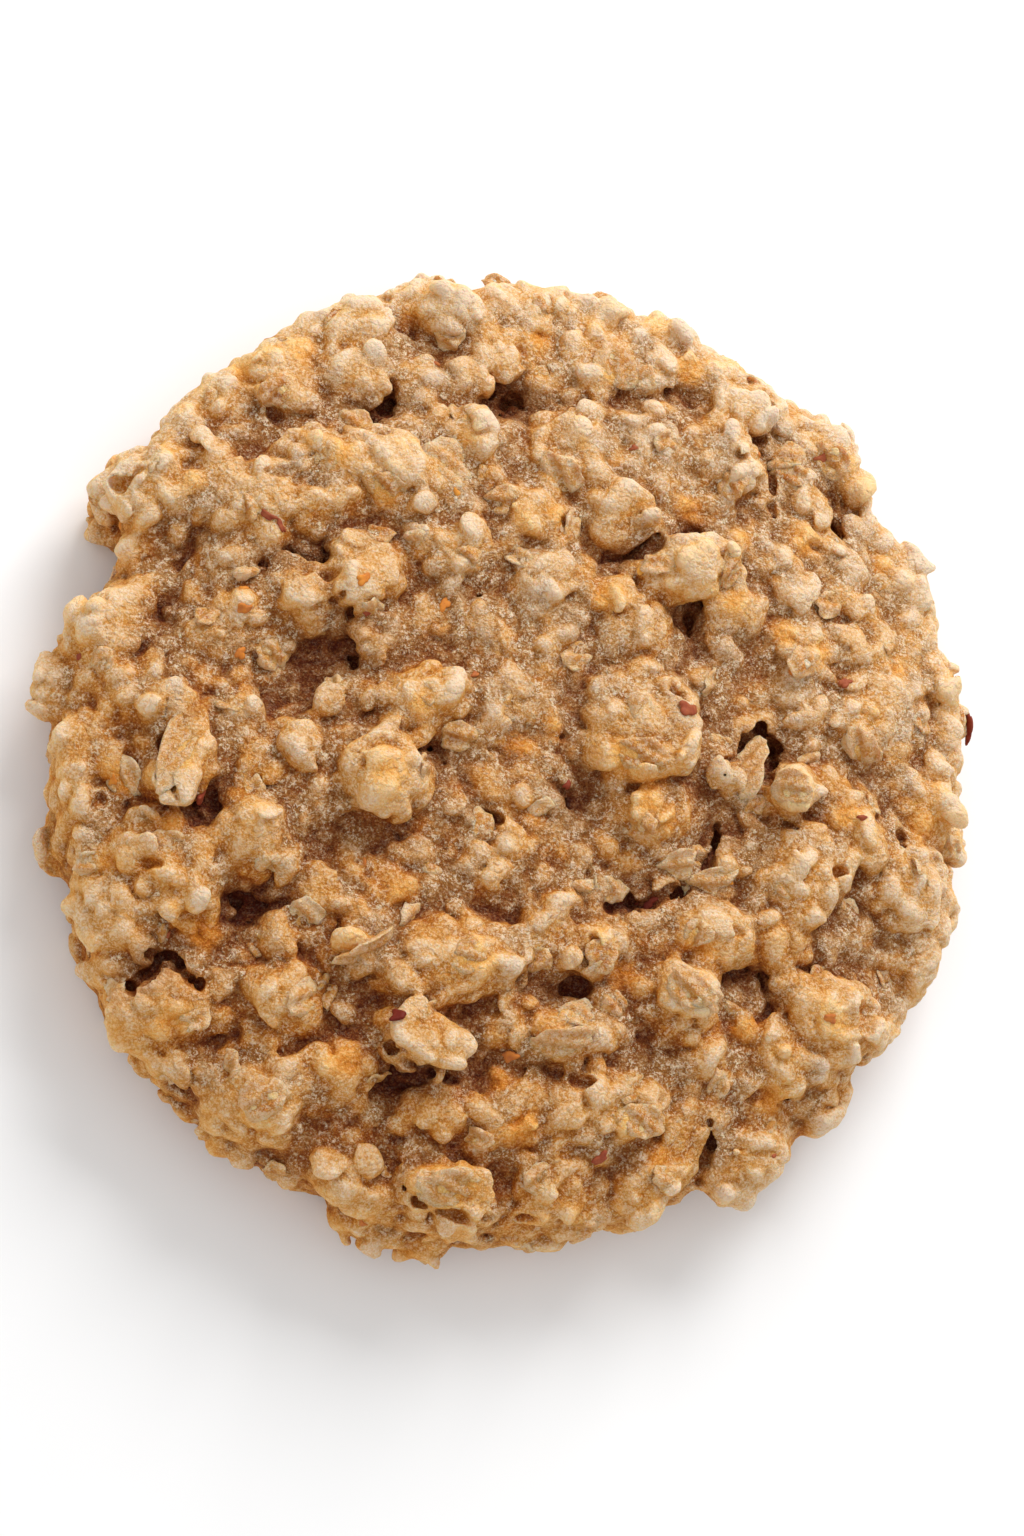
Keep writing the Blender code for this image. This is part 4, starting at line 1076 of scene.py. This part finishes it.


# Screen colours of the dough from its deepest creases to its palest tops, whose dark end paints shade in
# creases and hollows and whose pale end paints light on raised tops: dusty dough, hollows, golden lumps
# and amber spots. Chips go from dark red skin to yellow nut. Frost is the pale dust on the dough.
DUSTY_COLOURS = ((90, 28, 4), (130, 66, 16), (156, 103, 47), (186, 141, 91), (207, 176, 143), (222, 202, 180))
HOLLOW_COLOURS = ((82, 24, 5), (120, 63, 22), (149, 99, 54), (174, 128, 87), (195, 158, 124), (211, 182, 156))
GOLDEN_COLOURS = ((92, 24, 0), (137, 64, 1), (177, 104, 25), (204, 144, 68), (221, 180, 130), (229, 204, 173))
AMBER_COLOURS = ((96, 32, 0), (158, 80, 6), (198, 116, 26), (218, 148, 62), (230, 176, 102), (236, 200, 146))
CHIP_COLOURS = ((104, 26, 12), (142, 62, 40), (172, 96, 56), (208, 126, 46), (226, 158, 64), (240, 190, 100))
FROST = srgb(236, 213, 184)

# How much light spreads under the surface, and how far for red, green and blue.
SOFT_SHARE = 0.35
SOFT_SPREAD = (1.0, 0.45, 0.2)

# The floor's greys, and the size of its patches.
FLOOR_GREYS = (0.92, 0.94)
FLOOR_PATCHES = 40.0


def baked_dough():
    """Golden lumps with cream tops in dusty dough that turns grey brown and dark in its hollows, partly as
    painted shade.

    Gold says how much of the golden colours shows, light how pale each colour is, hollow how much of the
    hollows' colours shows, and frost how much pale dust lies on top. Light and hollow paint shade in creases,
    hollows, holes and gaps, at the wall's foot and on the side away from the key lamp, and paint light on
    raised tops and mounds.
    """
    nodes = Nodes("baked_dough")
    fine = nodes.attribute("fine_relief")
    middle = nodes.attribute("middle_relief")
    broad = nodes.attribute("broad_relief")
    tint = nodes.attribute("tint")
    shade = nodes.attribute("shade")
    amber = nodes.attribute("amber")
    patches = nodes.noise(3.2, 2.0, offset=3.0)
    mottle = nodes.noise(1.5, 3.0, 0.65, offset=9.0)
    drifts = nodes.noise(1.5, 2.0, offset=51.0)
    specks = nodes.noise(0.55, 2.0, 0.90, offset=17.0)
    crumbs = nodes.billow(1.1, 1.0, 0.5, offset=29.0)
    motes = nodes.billow(0.55, 2.0, 0.6, offset=37.0)

    upward = nodes.upward()
    height = nodes.along((0.0, 0.0, 1.0))
    gold = nodes.total(
        nodes.ramp(tint, 0.0, 1.0, 0.10, 0.70),
        nodes.ramp(patches, 0.35, 0.65, -0.15, 0.25),
        nodes.ramp(middle, -0.20, 0.40, -0.15, 0.15),
        # Steep sides and the wall are more golden and amber: partly their own colour, partly a painted warm
        # glow of shaded flanks.
        nodes.ramp(upward, 0.90, 0.30, 0.0, 0.50),
        nodes.ramp(shade, 0.0, 1.0, 0.0, -0.50),
        nodes.ramp(broad, -0.20, 0.30, -0.25, 0.10),
        # Painted shade: less golden towards the foot of the wall.
        nodes.ramp(height, *WALL_SHADE_HEIGHTS, 0.0, -0.35),
    )
    amber = nodes.total(amber, nodes.ease(gold, 0.75, 1.15, 0.0, 0.7))
    gold = nodes.ease(gold, 0.0, 0.7)
    # Light: the relief paints shade in creases and hollows and light on raised tops, shade adds the painted
    # shade of hollows, holes and gaps and the painted light of mounds; mottle, motes and specks are the
    # dough's own grain.
    light = nodes.total(
        nodes.ramp(middle, -0.45, 0.65, 0.54, 0.83),
        nodes.ramp(fine, -0.45, 0.45, -0.21, 0.11),
        nodes.ramp(broad, -0.20, 0.40, -0.16, 0.15),
        nodes.ramp(mottle, 0.30, 0.70, -0.07, 0.07),
        nodes.ramp(shade, -1.0, 1.0, 0.26, -0.26),
        nodes.ramp(motes, 0.02, 0.40, -0.13, 0.06),
        nodes.ramp(specks, 0.38, 0.62, -0.06, 0.08),
        # Painted shade: darker towards the side away from the key lamp, paler towards the lamp.
        nodes.ramp(nodes.along(PAINTED_SHADE_SIDE), *PAINTED_SHADE_REACH, 0.08, -0.13),
        # Painted shade: darker towards the foot of the wall.
        nodes.ramp(height, *WALL_SHADE_HEIGHTS, 0.0, -0.26),
    )
    colour = nodes.mix(gold, nodes.colours(light, DUSTY_COLOURS), nodes.colours(light, GOLDEN_COLOURS))
    colour = nodes.mix(nodes.ease(amber, 0.0, 1.0), colour, nodes.colours(light, AMBER_COLOURS))
    # Hollow: the greyer colours of broad hollows and of places with painted shade, partly the dusty tone of
    # hollows and partly painted shade.
    hollow = nodes.total(
        nodes.ease(broad, 0.05, -0.22, 0.0, 0.7),
        nodes.ease(shade, 0.0, 0.8, 0.0, 0.7),
    )
    colour = nodes.mix(nodes.ease(hollow, 0.0, 1.0, 0.0, 0.85), colour, nodes.colours(light, HOLLOW_COLOURS))
    frost = nodes.product(
        nodes.ease(specks, 0.48, 0.57, 0.0, 1.0),
        nodes.ease(crumbs, 0.03, 0.25, 0.60, 1.0),
        nodes.ease(drifts, 0.38, 0.60, 0.25, 1.0),
        nodes.ease(upward, 0.30, 0.85, 0.15, 1.0),
        nodes.ease(middle, 0.05, 0.45, 1.0, 0.35),
        nodes.ease(hollow, 0.0, 1.0, 1.0, 0.6),
        nodes.ramp(gold, 0.0, 1.0, 1.0, 0.45),
        nodes.ease(amber, 0.0, 1.0, 1.0, 0.30),
        nodes.ease(light, 0.20, 0.60, 0.15, 1.0),
    )
    rough = nodes.product(nodes.total(motes, specks), nodes.ramp(gold, 0.0, 1.0, 1.0, 0.45))
    relief = nodes.bump(crumbs, 0.38, 0.7, before=nodes.bump(rough, 0.34, 0.9))
    return nodes.finish(nodes.mix(frost, colour, FROST), relief, roughness=0.7, specular=0.18, soft_reach=1.6)


def toasted_oat():
    """Oat flakes: amber to cream, paler at their rims, streaked along the grain and lightly dusted."""
    nodes = Nodes("toasted_oat")
    tone = nodes.attribute("tone")
    edge = nodes.attribute("edge")
    mottle = nodes.noise(1.3, 3.0, 0.6, offset=5.0)
    specks = nodes.noise(0.7, 2.0, 0.90, offset=17.0)
    motes = nodes.billow(0.55, 2.0, 0.6, offset=37.0)
    light = nodes.total(
        nodes.ramp(tone, 0.0, 1.0, 0.54, 0.76),
        nodes.ramp(edge, 0.45, 1.0, -0.04, 0.14),
        nodes.ramp(mottle, 0.30, 0.70, -0.14, 0.14),
        nodes.ramp(motes, 0.02, 0.40, -0.10, 0.04),
    )
    colour = nodes.colours(light, GOLDEN_COLOURS)
    frost = nodes.product(
        nodes.ease(specks, 0.45, 0.60, 0.0, 0.6),
        nodes.ease(nodes.upward(), 0.30, 0.90, 0.15, 0.8),
    )
    relief = nodes.bump(mottle, 0.40, 0.8, before=nodes.bump(motes, 0.28, 0.9))
    return nodes.finish(nodes.mix(frost, colour, FROST), relief, roughness=0.6, specular=0.3, soft_reach=1.2)


def pecan_chip():
    """Chips of pecan: dark red skin, red brown, orange and yellow by tone, with a mottled face."""
    nodes = Nodes("pecan_chip")
    tone = nodes.attribute("tone")
    mottle = nodes.noise(0.9, 3.0, 0.6, offset=7.0)
    shade = nodes.total(tone, nodes.ramp(mottle, 0.30, 0.70, -0.08, 0.08))
    colour = nodes.colours(shade, CHIP_COLOURS)
    return nodes.finish(colour, nodes.bump(mottle, 0.25, 0.7), roughness=0.6, specular=0.2)


def pale_floor():
    """A plain pale surface with faint soft patches."""
    nodes = Nodes("pale_floor")
    patches = nodes.ease(nodes.noise(FLOOR_PATCHES, 2.0), 0.3, 0.7)
    colour = nodes.mix(patches, *((grey, grey, grey, 1.0) for grey in FLOOR_GREYS))
    nodes.link(colour, nodes.shader.inputs["Base Color"])
    nodes.shader.inputs["Roughness"].default_value = 0.9
    return nodes.material


# ---- stage

FLOOR_SIZE = 6.0
FLOOR_GAP = 0.0002
WORLD_LIGHT = 0.67


def add_camera():
    """The camera, whose lens and shift put the cookie where the picture has it."""
    data = bpy.data.cameras.new("camera")
    data.sensor_fit = "VERTICAL"
    data.sensor_height = SENSOR
    data.lens = SENSOR * CAMERA_DISTANCE * PIXELS_PER_MM / PICTURE_HEIGHT
    data.shift_x = (PICTURE_WIDTH / 2 - AIM_PIXEL[0]) / PICTURE_HEIGHT
    data.shift_y = (AIM_PIXEL[1] - PICTURE_HEIGHT / 2) / PICTURE_HEIGHT
    camera = bpy.data.objects.new("camera", data)
    turn = Matrix([RIGHT, UP, TOWARDS]).transposed().to_4x4()
    camera.matrix_world = Matrix.Translation(Vector(EYE * MM)) @ turn
    bpy.context.scene.collection.objects.link(camera)
    bpy.context.scene.camera = camera


def add_light(name, direction, distance, size, power):
    """A square lamp that looks at the cookie, with its distance and size in metres."""
    data = bpy.data.lights.new(name, "AREA")
    data.size = size
    data.energy = power
    light = bpy.data.objects.new(name, data)
    place = Vector(direction).normalized() * distance
    light.location = place
    light.rotation_euler = (-place).to_track_quat("-Z", "Y").to_euler()
    bpy.context.scene.collection.objects.link(light)


def add_stage():
    """The floor just under the cookie, an even white world and two soft lamps."""
    bpy.ops.mesh.primitive_plane_add(size=FLOOR_SIZE, location=(0.0, 0.0, -FLOOR_GAP))
    floor = bpy.context.active_object
    floor.name = "floor"
    floor.data.materials.append(pale_floor())
    world = bpy.data.worlds.new("studio")
    world.use_nodes = True
    background = world.node_tree.nodes["Background"]
    background.inputs["Color"].default_value = (1.0, 1.0, 1.0, 1.0)
    background.inputs["Strength"].default_value = WORLD_LIGHT
    bpy.context.scene.world = world
    add_light("key", direction=(0.35, 0.78, 0.62), distance=0.9, size=0.50, power=6.9)
    add_light("fill", direction=(-0.5, -0.3, 1.0), distance=1.0, size=0.8, power=1.0)
    bpy.context.scene.view_settings.view_transform = "Standard"


add_camera()
add_stage()
dough = knead()
cookie = mesh_of(dough, "cookie_crust", FINISH_TRIANGLES)
measure(dough, cookie)
cookie.data.materials.append(baked_dough())

placed_flakes = named_shapes(dough, FLAKES, thickness=0.7)
placed_flakes += scattered_shapes(
    dough, count=130, spacing=8.0, smallest=(3.0, 2.4, 0.6), largest=(5.4, 4.2, 1.0),
    most_lean=22, lifts=(-0.50, -0.10), tones=(0.1, 0.9),
)
flakes = joined("oat_flakes", flake_points, placed_flakes)
flakes.data.materials.append(toasted_oat())

placed_chips = named_shapes(dough, CHIPS, thickness=0.8)
placed_chips += scattered_shapes(
    dough, count=26, spacing=14.0, smallest=(0.9, 0.6, 0.4), largest=(1.9, 1.2, 0.8),
    most_lean=20, lifts=(-0.2, 0.05), tones=(0.15, 0.85),
)
chips = joined("pecan_chips", chip_points, placed_chips)
chips.data.materials.append(pecan_chip())

for piece in (cookie, flakes, chips):
    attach(piece, "root")
    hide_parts("cookie")
